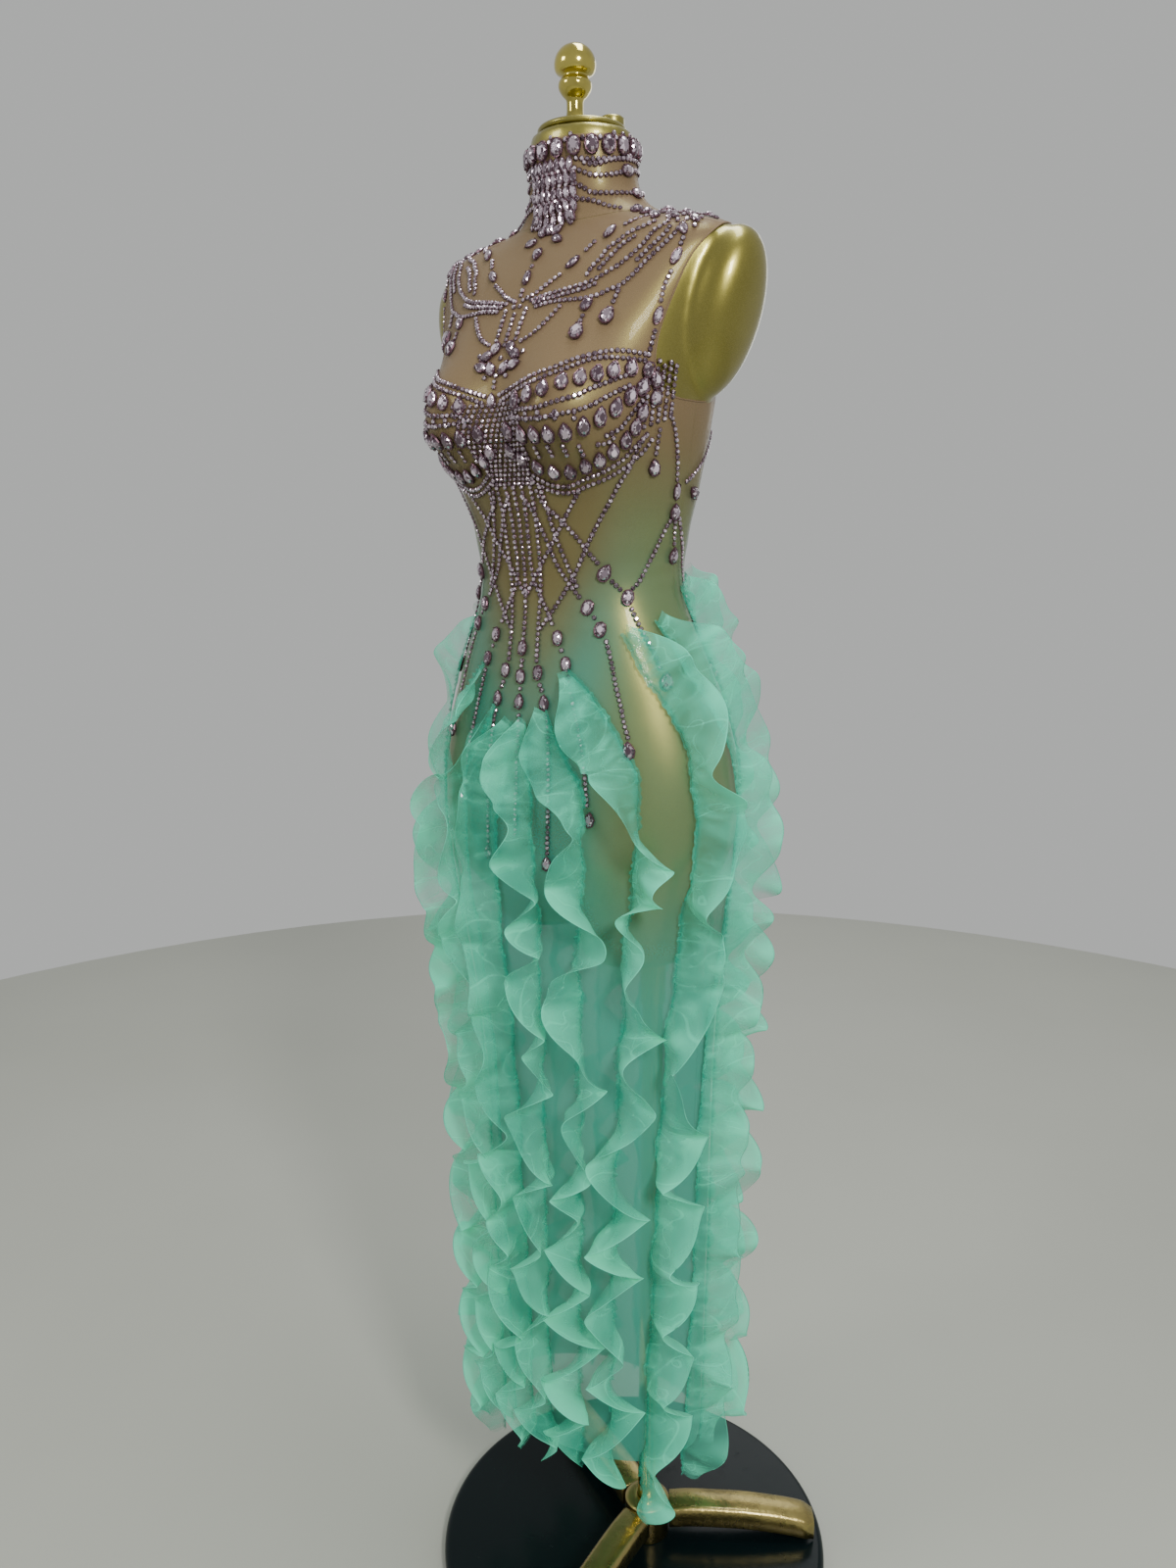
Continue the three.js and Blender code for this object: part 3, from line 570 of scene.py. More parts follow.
def clip_outside(points, faces, inside):
    """Cuts away the part of a mesh where inside is negative, and returns the cut edge's points."""
    points = list(map(np.asarray, points))
    made, kept, edge = {}, [], []
    for face in faces:
        values = [inside[k] for k in face]
        if min(values) >= 0:
            kept.append(list(face))
            continue
        if max(values) < 0:
            continue
        outline = []
        for a, b in zip(face, [*face[1:], face[0]]):
            if inside[a] >= 0:
                outline.append(a)
            if (inside[a] < 0) != (inside[b] < 0):
                key = (min(a, b), max(a, b))
                if key not in made:
                    share = inside[key[0]] / (inside[key[0]] - inside[key[1]])
                    made[key] = len(points)
                    points.append(points[key[0]] + (points[key[1]] - points[key[0]]) * share)
                    edge.append(points[-1])
                outline.append(made[key])
        if len(outline) > 2:
            kept.append(outline)
    return np.array(points), kept, np.array(edge)


def armhole_value(points):
    """Negative inside an armhole, seen from the side of the dress."""
    rise = points[..., 2] - ARMHOLE["z"]
    behind = points[..., 1] - ARMHOLE["y"] - ARMHOLE["slant"] * rise
    deep = np.where(behind < 0, ARMHOLE["forward"], ARMHOLE["backward"])
    blunt = 2 / ARMHOLE["corner"]
    value = np.abs(behind / deep) ** blunt + np.abs(rise / ARMHOLE["tall"]) ** blunt - 1
    return np.where(np.abs(points[..., 0] - CENTRE_X) > ARMHOLE["across"], value, 1.0)


armhole_edges = []


def mesh_panel(name, from_turn, to_turn, levels, node):
    columns = int(abs(to_turn - from_turn) / PANEL_STEP) + 1
    turn, level = np.meshgrid(np.linspace(from_turn, to_turn, columns), levels, indexing="ij")
    base = figure(turn, level)
    points = off_figure(turn, level, cloth_lift(turn, level, base))
    around = unit(figure(turn + 0.1, level) - figure(turn - 0.1, level))
    points[0] += around[0] * SEAM_HALF
    points[-1] -= around[-1] * SEAM_HALF
    uv = np.stack([np.radians(turn) * 0.1, base[..., 2] * MM], -1).reshape(-1, 2)
    points = points.reshape(-1, 3)
    faces = grid_faces(columns, len(levels))
    points, faces, edge = clip_outside(points, faces.tolist(), armhole_value(points))
    if len(edge):
        armhole_edges.append(edge)
    piece = make_object(name, points, faces, MESH_CLOTH)
    return finished(piece, "stretch_mesh", node)


panel_levels = even_levels(0, COLLAR_LEVEL, CLOTH_PITCH)
mesh_front = mesh_panel("mesh_front", -90, 90, panel_levels, "dress_front")
mesh_back_left = mesh_panel("mesh_back_left", 90, 180, panel_levels, "dress_back_left")
mesh_back_right = mesh_panel("mesh_back_right", -180, -90, panel_levels, "dress_back_right")
collar_levels = even_levels(COLLAR_LEVEL + 0.02, LAST_LEVEL, COLLAR_PITCH)
mesh_collar = mesh_panel("mesh_collar", -180, 180, collar_levels, "collar")


def tube(path, radius, sides=6, closed=False):
    """Points and faces of a round tube through a list of points."""
    path = np.asarray(path, float)
    if closed:
        run = np.roll(path, -1, 0) - np.roll(path, 1, 0)
    else:
        run = np.gradient(path, axis=0)
    run = unit(run)
    guide = np.where(np.abs(run[:, 2:]) > 0.9, [[1.0, 0, 0]], [[0, 0, 1.0]])
    side = unit(np.cross(run, guide))
    up = np.cross(side, run)
    angle = np.linspace(0, 2 * np.pi, sides, endpoint=False)
    ring = side[:, None] * np.cos(angle)[None, :, None] + up[:, None] * np.sin(angle)[None, :, None]
    points = (path[:, None] + ring * radius).reshape(-1, 3)
    count = len(path)
    faces = []
    for i in range(count if closed else count - 1):
        faces.extend(band_faces(i * sides, (i + 1) % count * sides, sides))
    return points, faces


def armhole_binding(name, side):
    """The narrow turned edge round an armhole, along the cut of the panels."""
    edge = np.concatenate(armhole_edges)
    edge = edge[np.sign(edge[:, 0] - CENTRE_X) == side]
    rise = edge[:, 2] - ARMHOLE["z"]
    behind = edge[:, 1] - ARMHOLE["y"] - ARMHOLE["slant"] * rise
    angle = np.arctan2(rise / ARMHOLE["tall"], behind / ARMHOLE["forward"])
    order = np.argsort(angle)
    steps = np.linspace(-np.pi, np.pi, 120, endpoint=False)
    path = np.stack([np.interp(steps, angle[order], edge[order, k], period=2 * np.pi) for k in range(3)], -1)
    points, faces = tube(path, 0.9, closed=True)
    piece = make_object(name, points, faces, MESH_CLOTH)
    return finished(piece, "stretch_mesh")


armhole_binding("armhole_edge_left", 1)
armhole_binding("armhole_edge_right", -1)

# ------------------------------------------------------------------ tulle ruffles
# The stitched line of each ruffle as turn and height, the same on both sides of the dress.
# top and rest are how far it leans over at its upper end and further down, in degrees, + away from
# centre front, and swing is how far it turns to either side of that.
RUFFLES = [
    dict(name="ruffle_1", width=47, top=54, rest=4, swing=46, seat=1.1,
         line=[(3, 1036), (6, 960), (9, 880), (9, 780), (8, 640), (7, 470), (6, 300), (7, 165)]),
    dict(name="ruffle_2", width=46, top=-30, rest=-10, swing=50, seat=1.1,
         line=[(12, 1050), (19, 1006), (26, 968), (27, 900), (26, 800), (26, 700), (25, 560), (24, 400),
               (23, 175)]),
    dict(name="ruffle_3", width=52, top=-66, rest=-4, swing=54, seat=1.7,
         line=[(22, 1092), (32, 1068), (40, 1032), (46, 990), (48, 940), (46, 860), (45, 740), (43, 600),
               (41, 430), (39, 158)]),
    dict(name="ruffle_4", width=51, top=66, rest=22, swing=48, seat=1.8,
         line=[(50, 1130), (58, 1085), (67, 1044), (72, 990), (74, 925), (71, 850), (68, 760), (65, 620),
               (62, 470), (60, 320), (57, 104)]),
    dict(name="ruffle_5", width=56, top=62, rest=48, swing=26, seat=1.9,
         line=[(70, 1142), (82, 1092), (96, 1038), (104, 975), (106, 900), (102, 800), (96, 690),
               (92, 560), (90, 380), (86, 138)]),
    dict(name="ruffle_6", width=58, top=56, rest=30, swing=36, seat=1.8,
         line=[(98, 1176), (112, 1112), (124, 1040), (131, 960), (131, 860), (126, 740), (121, 600),
               (118, 400), (114, 150)]),
    dict(name="ruffle_7", width=56, top=40, rest=12, swing=44, seat=1.8,
         line=[(124, 1190), (136, 1122), (147, 1050), (152, 960), (151, 860), (148, 740), (145, 600),
               (142, 400), (140, 150)]),
    dict(name="ruffle_8", width=50, top=0, rest=0, swing=46, seat=1.8,
         line=[(156, 1172), (163, 1100), (168, 1020), (170, 900), (169, 760), (168, 600), (167, 400),
               (167, 160)]),
]
# The main turns of the ruffles that hang most freely: at which height each leans how far.
TURNS = {
    "ruffle_1_left": [(1036, -18), (990, -46), (950, -34), (922, 26), (893, -40), (862, 38), (830, -30),
                      (800, 44), (765, -28), (722, 46), (690, -14), (650, 52), (615, -36)],
    "ruffle_1_right": [(1036, 30), (1000, 68), (940, 60), (880, 70), (830, 44), (786, 66), (750, 20),
                       (715, 58), (676, -10)],
    "ruffle_2_left": [(1050, -36), (1006, -58), (978, -50), (955, 4), (925, 14), (895, -24), (868, -54),
                      (842, 42), (800, 48), (772, -14), (742, -48), (700, 14), (660, 62), (625, -14)],
    "ruffle_3_left": [(1092, -64), (1040, -72), (1000, -70), (976, -58), (955, -18), (935, -6), (905, 68),
                      (892, 2), (866, 58), (843, -28), (820, 38), (790, -14), (752, 20), (720, 62),
                      (690, 0), (650, 56), (600, -24), (577, -52)],
    "ruffle_4_left": [(1130, 56), (1090, 62), (1044, 68), (1012, 22), (988, 0), (952, 74), (905, 40),
                      (870, -14), (816, 62), (790, 40), (760, 64), (715, 6), (678, -24), (640, 6),
                      (594, 60), (554, -28)],
}
RUFFLE = dict(steps=560, fullness=1.5, turns=(26, 60), start=0.09, settled=0.3, lowest=80)
LEAF_SHARES = np.array([0, 0.05, 0.12, 0.21, 0.32, 0.44, 0.56, 0.68, 0.8, 0.9, 0.965, 1.0])


def smoothstep(value, low, high):
    u = np.clip((np.asarray(value, float) - low) / (high - low), 0, 1)
    return u * u * (3 - 2 * u)


def smooth_line(knots, count):
    """A smooth curve through knots, at an even spacing, and the share of its length at each point."""
    knots = np.asarray(knots, float)
    ghost = np.concatenate([[2 * knots[0] - knots[1]], knots, [2 * knots[-1] - knots[-2]]])
    dense = []
    for k in range(len(knots) - 1):
        p0, p1, p2, p3 = ghost[k:k + 4]
        u = np.linspace(0, 1, 60, endpoint=False)[:, None]
        dense.append(0.5 * (2 * p1 + (p2 - p0) * u + (2 * p0 - 5 * p1 + 4 * p2 - p3) * u**2
                            + (3 * p1 - p0 - 3 * p2 + p3) * u**3))
    dense = np.concatenate([*dense, knots[-1:]])
    run = run_length(dense)
    share = np.linspace(0, 1, count)
    return np.stack([np.interp(share * run[-1], run, dense[:, k]) for k in range(dense.shape[1])], -1), share


def blurred(values, reach):
    """Values along a strip, evened out over about reach steps."""
    kernel = np.exp(-0.5 * (np.arange(-3 * reach, 3 * reach + 1) / reach) ** 2)
    padded = np.pad(values, 3 * reach, mode="edge")
    return np.convolve(padded, kernel / kernel.sum(), mode="valid")


class Wander:
    """A smooth uneven wave along a strip: a sum of (wavelength, height) waves with loose phases."""

    def __init__(self, drift, *waves):
        self.waves = [(2 * np.pi / span, tall, drift.uniform(0, 2 * np.pi), drift.uniform(-1, 1))
                      for span, tall in waves]

    def __call__(self, length, across=0.0):
        """across skews each wave a little, so that folds run slantwise over the strip."""
        return sum(tall * np.sin(rate * (length + skew * across) + phase)
                   for rate, tall, phase, skew in self.waves)


def eased(place, places, values):
    """Values between knots that come to rest at each knot."""
    after = np.clip(np.searchsorted(places, place), 1, len(places) - 1)
    u = smoothstep((place - places[after - 1]) / (places[after] - places[after - 1]), 0, 1)
    return values[after - 1] * (1 - u) + values[after] * u


def strip_turns(row, ending, drift):
    """Height and lean of each turn of a strip: as listed where given, and loosely by pitch below."""
    top = row["line"][0][1]
    knots = list(TURNS.get(f"{row['name']}_{ending}", [(top, row["top"]), (top - 40, row["top"])]))
    way = -1 if knots[-1][1] > row["rest"] else 1
    span = top - row["line"][-1][1]
    while knots[-1][0] > 0:
        height = knots[-1][0] - drift.uniform(*RUFFLE["turns"])
        settled = smoothstep((top - height) / span, RUFFLE["start"], RUFFLE["settled"])
        mean = row["top"] * (1 - settled) + row["rest"] * settled
        swing = row["swing"] * (0.3 + 0.7 * settled) * drift.uniform(0.5, 1.15)
        knots.append((height, mean + way * swing))
        way = -way
    return np.array(knots[::-1]), row["rest"]


class RuffleStrip:
    """One gathered strip folded lengthwise: where its stitches run, and how it stands off them."""

    def __init__(self, row, side, seed):
        drift = np.random.default_rng(seed)
        line, share = smooth_line(row["line"], RUFFLE["steps"] + 1)
        turn, height = line[:, 0] * side, line[:, 1]
        root = on_figure(turn, height, np.full(turn.shape, CLOTH_OUT + 0.6 + row["seat"]))
        self.length = run_length(root)
        self.out = figure_normal(turn, level_at(height))
        self.run = unit(np.gradient(root, axis=0))
        self.across = unit(np.cross(self.run, self.out))
        stray = Wander(drift, (131, 1.8), (67, 1.2), (23, 0.7), (9, 0.5))(self.length)
        self.root = root + self.across * (stray * smoothstep(share, 0, 0.06))[:, None]
        self.share, self.drift = share, drift
        knots, rest = strip_turns(row, "left" if side > 0 else "right", drift)
        lean = blurred(eased(height, knots[:, 0], knots[:, 1]), 5)
        self.lean = side * np.clip(lean, -RUFFLE["lowest"], RUFFLE["lowest"])
        away = ((lean - rest) / 50) ** 2
        self.skew = 0.24 * np.clip(blurred(np.gradient(away, self.length), 5) * 14, -1, 1)
        opening = 0.2 + 0.8 * smoothstep(share, 0, 0.04)
        closing = 0.4 + 0.6 * smoothstep(1 - share, 0, 0.04)
        self.width = row["width"] * opening * closing
        self.ragged = Wander(drift, (87, 0.06), (41, 0.03))(self.length)

    def leaf(self):
        """A grid of points up one layer to the fold and down the other, and how sharply it bends at each
        point, which the tulle paints as a highlight.
        """
        drift, length = self.drift, self.length
        width = self.width * (1 + self.ragged)
        curl = Wander(drift, (163, 13), (93, 10))(length)
        skew = self.skew + Wander(drift, (137, 0.12), (79, 0.08))(length)
        sway = Wander(drift, (91, 2.4), (57, 1.3))
        puff = np.clip(3.4 + Wander(drift, (97, 2.6), (53, 2.0))(length), 0.6, 9)
        middle, spine, normals = self.root.copy(), [], []
        for before, v in zip([0.0, *LEAF_SHARES], LEAF_SHARES):
            bend = self.lean * (0.82 + 0.26 * v) + curl * v**1.4
            bend = np.radians(np.clip(bend, -88, 88))
            way = self.out * np.cos(bend)[:, None] - self.across * np.sin(bend)[:, None]
            slant = way * np.cos(skew)[:, None] + self.run * np.sin(skew)[:, None]
            middle = middle + slant * (width * (v - before))[:, None]
            if v == LEAF_SHARES[1]:
                middle = np.stack([blurred(middle[:, k], 4) for k in range(3)], -1)
            lift = -9 * v * (1 - smoothstep(self.share, 0, 0.05)) + 12 * v * smoothstep(self.share, 0.95, 1)
            normals.append(unit(np.cross(way, self.run)))
            spine.append(middle + normals[-1] * (sway(length, v * width) * v**1.3)[:, None]
                         + self.run * lift[:, None])
        grid = []
        for side, order in ((1, range(len(LEAF_SHARES))), (-1, range(len(LEAF_SHARES) - 2, -1, -1))):
            folds = Wander(drift, (83, 2.0), (47, 1.3), (29, 0.6))
            pleats = Wander(drift, (9.5, 0.5), (14, 0.5))
            for k in order:
                v = LEAF_SHARES[k]
                apart = side * puff + folds(length, v * width)
                hollow = np.sin(np.pi * v**0.8) * apart + pleats(length) * (1 - v) ** 6 * min(1, v * 12)
                grid.append(spine[k] + normals[k] * hollow[:, None])
        grid = np.stack(grid, 1)
        # How sharply the strip bends here, painted as a highlight on the tulle.
        bend_highlight = np.zeros(grid.shape[:2])
        bend_highlight[4:-4] = np.linalg.norm(grid[8:] - 2 * grid[4:-4] + grid[:-8], axis=2) / 8
        return grid, np.clip(bend_highlight, 0, 1)

    def heading(self):
        """The narrow curly edge left standing on the other side of the stitches."""
        curl = np.sin(self.length * 2 * np.pi / 8.2 + Wander(self.drift, (60, 1.5))(self.length))
        lying = np.sign(self.lean + 1e-6)
        grid = []
        for v in (0, 0.5, 1.0):
            aside = self.across * (lying * (3.2 + 0.9 * curl) * v)[:, None]
            up = self.out * (0.4 + v * (1.4 + 1.5 * curl))[:, None]
            grid.append(self.root + aside + up)
        return np.stack(grid, 1), np.zeros((len(self.length), 3))


def ruffle_piece(row, side, seed):
    strip = RuffleStrip(row, side, seed)
    shares = np.concatenate([LEAF_SHARES, 2 - LEAF_SHARES[-2::-1]])
    points, faces, uv, marks = [], [], [], []
    for (grid, mark), across in ((strip.leaf(), shares), (strip.heading(), np.zeros(3))):
        start = sum(map(len, points))
        points.append(grid.reshape(-1, 3))
        faces.extend(grid_faces(*grid.shape[:2], start).tolist())
        place = np.stack(np.broadcast_arrays(strip.length[:, None], across[None] * STRIP_WIDE), -1)
        uv.append(place.reshape(-1, 2) * MM)
        marks.append(mark.ravel())
    ending = "left" if side > 0 else "right"
    # The bend values go on as a grey that the tulle paints as highlights.
    piece = make_object(f"tulle_{row['name']}_{ending}", np.concatenate(points), faces, TULLE,
                        uv=np.concatenate(uv) + [seed * 0.37, 0], painted_light=np.concatenate(marks))
    finished(piece, "tulle", f"{row['name']}_{ending}")


for index, row in enumerate(RUFFLES):
    ruffle_piece(row, 1, 11 + index)
    ruffle_piece(row, -1, 61 + index)

# ------------------------------------------------------------------ crystals
OUTLINES = {
    "round": lambda a: np.stack([np.cos(a), np.sin(a)], -1) * 0.5,
    "oval": lambda a: np.stack([np.cos(a), np.sin(a)], -1) * 0.5,
    "drop": lambda a: np.stack([np.cos(a) * (0.5 - 0.34 * np.clip(np.sin(a), 0, 1) ** 1.5),
                                np.sin(a) * 0.5], -1),
    "marquise": lambda a: np.stack([np.cos(a) * np.abs(np.cos(a)) ** 0.35 * 0.5, np.sin(a) * 0.5], -1),
}
# A cut stone and its setting as rings: share of the outline, height as a share of the width.
CROWN = [(0.97, 0.16), (0.76, 0.33), (0.46, 0.44)]
SMALL_CROWN = [(0.96, 0.18), (0.58, 0.42)]
SETTING_RINGS = [(1.02, 0.0), (1.12, 0.10), (1.07, 0.21), (0.96, 0.20)]
SMALL_RINGS = [(1.04, 0.0), (1.14, 0.12), (0.98, 0.22)]


def stone_template(kind, sides, crown, rings, claws):
    """Points, faces and materials of one stone 1 wide and 1 tall, lying on z 0 with its tip to +Y."""
    angle = np.linspace(0, 2 * np.pi, sides, endpoint=False) + np.pi / 2
    half_step = np.pi / sides
    outline = OUTLINES[kind]
    points, faces, marks = [], [], []
    for k, (share, height) in enumerate(crown):
        points.extend([x * share, y * share, height] for x, y in outline(angle + half_step * (k % 2)))
    for k in range(len(crown) - 1):
        for i in range(sides):
            j = (i + 1) % sides
            a, b = k * sides, (k + 1) * sides
            if k % 2 == 0:
                faces.extend([[a + i, a + j, b + i], [a + j, b + j, b + i]])
            else:
                faces.extend([[a + i, b + j, b + i], [a + i, a + j, b + j]])
    faces.append([(len(crown) - 1) * sides + i for i in range(sides)])
    marks.extend([0] * len(faces))
    start = len(points)
    for share, height in rings:
        points.extend([x * share, y * share, height] for x, y in outline(angle))
    for k in range(len(rings) - 1):
        faces.extend(band_faces(start + k * sides, start + (k + 1) * sides, sides))
    for k in range(claws):
        foot = outline(np.array([np.pi / 2 + (k + 0.5) / claws * 2 * np.pi]))[0]
        side = unit(np.array([-foot[1], foot[0]])) * 0.05
        start = len(points)
        for share, height in ((1.16, 0.05), (1.12, 0.3), (0.84, 0.37)):
            points.extend([*(foot * share + side * sign), height] for sign in (-1, 1))
        faces.extend([[start, start + 1, start + 3, start + 2], [start + 2, start + 3, start + 5, start + 4]])
    marks.extend([1] * (len(faces) - len(marks)))
    return np.array(points, float), faces, np.array(marks)


SMALL = stone_template("round", 8, SMALL_CROWN, SMALL_RINGS, 0)
BIG = {kind: stone_template(kind, 12, CROWN, SETTING_RINGS, 4) for kind in ("oval", "drop", "marquise")}
SIZES = {"round": (4.9, 4.9), "oval": (12.5, 16), "drop": (13, 18), "marquise": (8.5, 16.5)}
# Share of facets painted at full brightness as glints.
PAINTED_GLINTS = 0.11


class Stones:
    """Stones set one by one on the cloth and joined in one piece."""

    def __init__(self, seed):
        self.points, self.faces, self.marks, self.facet_painted_light = [], [], [], []
        self.count = 0
        self.drift = np.random.default_rng(seed)

    def put(self, kind, turn, height, size=None, lean=0.0, out=STONE_SEAT):
        """Sets a stone. lean turns its tip off upright, in degrees, + towards the wearer's left."""
        template, faces, marks = SMALL if kind == "round" else BIG[kind]
        wide, tall = size or SIZES[kind]
        middle = on_figure(np.array([turn]), np.array([height]), np.array([out]))[0]
        normal = figure_normal(np.array([turn]), level_at(np.array([height])))[0]
        up = on_figure(np.array([turn]), np.array([height + 1.0]), np.array([out]))[0] - middle
        up = unit(up - normal * (up @ normal))
        side = np.cross(up, normal)
        tilt = self.drift.normal(0, 0.05 if kind == "round" else 0.03, 2)
        normal = unit(normal + side * tilt[0] + up * tilt[1])
        side = unit(np.cross(up, normal))
        up = np.cross(normal, side)
        spin = math.radians(lean if kind != "round" else self.drift.uniform(0, 45))
        way = up * math.cos(spin) + side * math.sin(spin)
        cross = side * math.cos(spin) - up * math.sin(spin)
        placed = (middle + template[:, :1] * wide * cross + template[:, 1:2] * tall * way
                  + template[:, 2:] * wide * normal)
        self.faces.extend([[index + self.count for index in face] for face in faces])
        self.points.append(placed)
        self.marks.append(marks)
        # Each facet gets a grey of painted light and shade; a share are set to full as painted glints.
        facets = self.drift.uniform(0.05, 0.4) + self.drift.normal(0, 0.28, len(faces))
        facets[self.drift.uniform(0, 1, len(faces)) < PAINTED_GLINTS] = 1.0
        self.facet_painted_light.append(np.clip(facets, 0, 1))
        self.count += len(placed)

    def chain(self, line, both=True, stone=4.8, pitch=5.5):
        """A row of small stones along a line of turn and height, on one side or both."""
        for side in (1, -1) if both else (1,):
            path, _ = smooth_line([(turn * side, height) for turn, height in line], 240)
            run = run_length(on_figure(path[:, 0], path[:, 1], np.full(len(path), STONE_SEAT)))
            for at in np.arange(pitch / 2, run[-1], pitch):
                turn = np.interp(at, run, path[:, 0])
                height = np.interp(at, run, path[:, 1])
                size = stone * self.drift.uniform(0.92, 1.06)
                self.put("round", turn, height, (size, size))

    def big(self, kind, places, both=True, size=None):
        """Large stones at (turn, height, lean) places."""
        for turn, height, lean in places:
            for side in (1, -1) if both and abs(turn) > 0.5 else (1,):
                self.put(kind, turn * side, height, size, lean * side)

    def piece(self, name, *nodes):
        made = make_object(name, np.concatenate(self.points), self.faces, [CRYSTAL, SETTING], smooth=False,
                           painted_light=np.concatenate(self.facet_painted_light))
        made.data.polygons.foreach_set("material_index", np.concatenate(self.marks).astype(int))
        return finished(made, "rhinestone", *nodes)


def collar_crystals():
    stones = Stones(1)
    for turn in np.linspace(-171, 171, 20):
        stones.put("oval", turn, 1604, (13.5, 17.5))
        stones.put("round", turn + 9, 1610)
    stones.chain([(turn, 1614) for turn in range(-175, 176, 25)], both=False)
    stones.chain([(26, 1593), (48, 1591), (78, 1592), (110, 1593), (145, 1593), (180, 1593)])
    stones.piece("collar_crystals", "collar_stones")


def throat_crystals():
    """A close block of upright stones under the collar, its spray below, and rows round the neck."""
    stones = Stones(2)
    for row, (height, reach) in enumerate([(1589, 27), (1578, 27), (1567, 25), (1556, 23), (1546, 19)]):
        for turn in np.arange(-reach, reach + 1, 6.9):
            stones.put("marquise", turn + (row % 2) * 3.4, height, (7, 13.5), stones.drift.uniform(-8, 8),
                       STONE_SEAT + 0.5 * (row % 2))
    for height, reach in ((1583.5, 26), (1572.5, 26), (1561, 24), (1550.5, 20), (1540, 14)):
        for turn in np.arange(-reach, reach + 1, 6.9):
            stones.put("round", turn + 1.7, height, (4.2, 4.2), out=STONE_SEAT + 1.2)
    stones.big("drop", [(0, 1535, 0), (17, 1548, 150), (0, 1503, 180)], size=(10.5, 15))
    stones.big("drop", [(4.6, 1518, 130), (3.8, 1531, 60)], size=(9.5, 14))
    stones.big("marquise", [(0, 1478, 0)])
    stones.chain([(0, 1493), (0, 1488)], both=False)
    stones.chain([(0, 1467), (0, 1456)], both=False)
    for line in ([(34, 1589), (48, 1587), (63, 1590), (78, 1592), (101, 1598)],
                 [(24, 1586), (36, 1581), (46, 1578), (64, 1578), (78, 1580)],
                 [(96, 1583), (122, 1584), (150, 1584)],
                 [(24, 1574), (34, 1569), (41, 1564), (55, 1562), (67, 1561), (84, 1560)],
                 [(102, 1560), (130, 1562), (160, 1562)],
                 [(24, 1561), (40, 1557), (52, 1550), (61, 1546)]):
        stones.chain(line)
    stones.big("oval", [(86, 1582, 90), (93, 1559, 80)], size=(11, 15))
    stones.piece("throat_crystals", "throat_stones")


def shoulder_crystals():
    """Rows along the shoulder seam, and the knot of stones where the chest chains meet."""
    stones = Stones(3)
    for offset in (0, 5, 10):
        stones.chain([(66 - offset, 1536), (76 - offset, 1533), (83 - offset / 2, 1529),
                      (87 - offset / 3, 1520)])
    stones.big("oval", [(69, 1542, 80), (62, 1536, 70), (79, 1535, 100)], size=(11, 15))
    stones.big("marquise", [(84, 1531, 90), (86, 1524, 90), (74, 1526, 60), (60, 1525, 20), (53, 1528, 70),
                            (66, 1519, 10), (57, 1510, -10)], size=(8, 14.5))
    for turn, height in [(64, 1530), (61, 1519), (58, 1533), (56, 1519), (68, 1526), (71, 1520), (63, 1512)]:
        stones.put("round", turn, height)
        stones.put("round", -turn, height)
    stones.piece("shoulder_crystals", "shoulder_stones_left", "shoulder_stones_right")


def chest_crystals():
    """Chains that fan from the crossing at the breastbone to both shoulders."""
    stones = Stones(4)
    for line in (
            [(60, 1531), (54, 1531), (41, 1527), (32, 1522)],
            [(20, 1509), (17, 1497)],
            [(12, 1477), (8, 1468), (5, 1460), (1, 1453)],
            [(57, 1526), (50, 1518), (43, 1510), (40, 1497), (37, 1487), (34, 1479), (31, 1474), (27, 1467),
             (22, 1462), (16, 1459), (10, 1456), (4, 1452)],
            [(47, 1522), (38, 1516), (32, 1511), (29, 1504), (26, 1497), (25, 1488), (23, 1479), (22, 1469)],
            [(36, 1508), (32, 1501), (30, 1494), (28, 1485), (26, 1476)],
            [(28, 1462), (23, 1457), (17, 1454), (10, 1451), (4, 1448)],
            [(55, 1512), (50, 1497), (46, 1484), (43, 1473), (41, 1466), (38, 1458), (34, 1454), (30, 1449),
             (25, 1447), (20, 1447), (13, 1447), (6, 1444)],
            [(51, 1515), (46, 1500), (43, 1490), (40, 1479)],
            [(17, 1443), (15, 1433), (13, 1425), (11, 1418), (8, 1412), (5, 1408)],
            [(28, 1431), (28, 1422)], [(38, 1455), (38, 1439)],
            [(3.2, 1446), (3.2, 1410)], [(1.2, 1449), (0.5, 1446)],
            [(58, 1503), (58, 1495)], [(59, 1472), (58, 1458), (59, 1441)], [(61, 1417), (61, 1392)]):
        stones.chain(line)
    stones.chain([(0, 1441), (0, 1410)], both=False)
    stones.big("marquise", [(14.5, 1487, 38), (25, 1516, 50), (58.5, 1484, 8), (60, 1429, 0)])
    stones.big("drop", [(28.5, 1413, 0), (38, 1428, 8)])
    stones.big("oval", [(27.5, 1440, 10)], size=(10, 14))
    stones.piece("chest_crystals")


def brooch_crystals():
    stones = Stones(5)
    for turn, height, lean in [(2.6, 1403, 155), (5.4, 1396, 120), (6.4, 1386, 75), (2.4, 1384, 25)]:
        stones.put("drop", turn, height, (10.5, 15.5), lean)
        stones.put("drop", -turn, height, (10.5, 15.5), -lean)
    for turn, height in [(0, 1407), (0, 1394), (0, 1377), (4, 1376), (-4, 1376), (8.4, 1398), (-8.4, 1398)]:
        stones.put("round", turn, height)
    stones.chain([(0, 1374), (0, 1363)], both=False)
    stones.put("drop", 0, 1354, (10, 14))
    stones.piece("brooch_crystals", "chest_brooch")


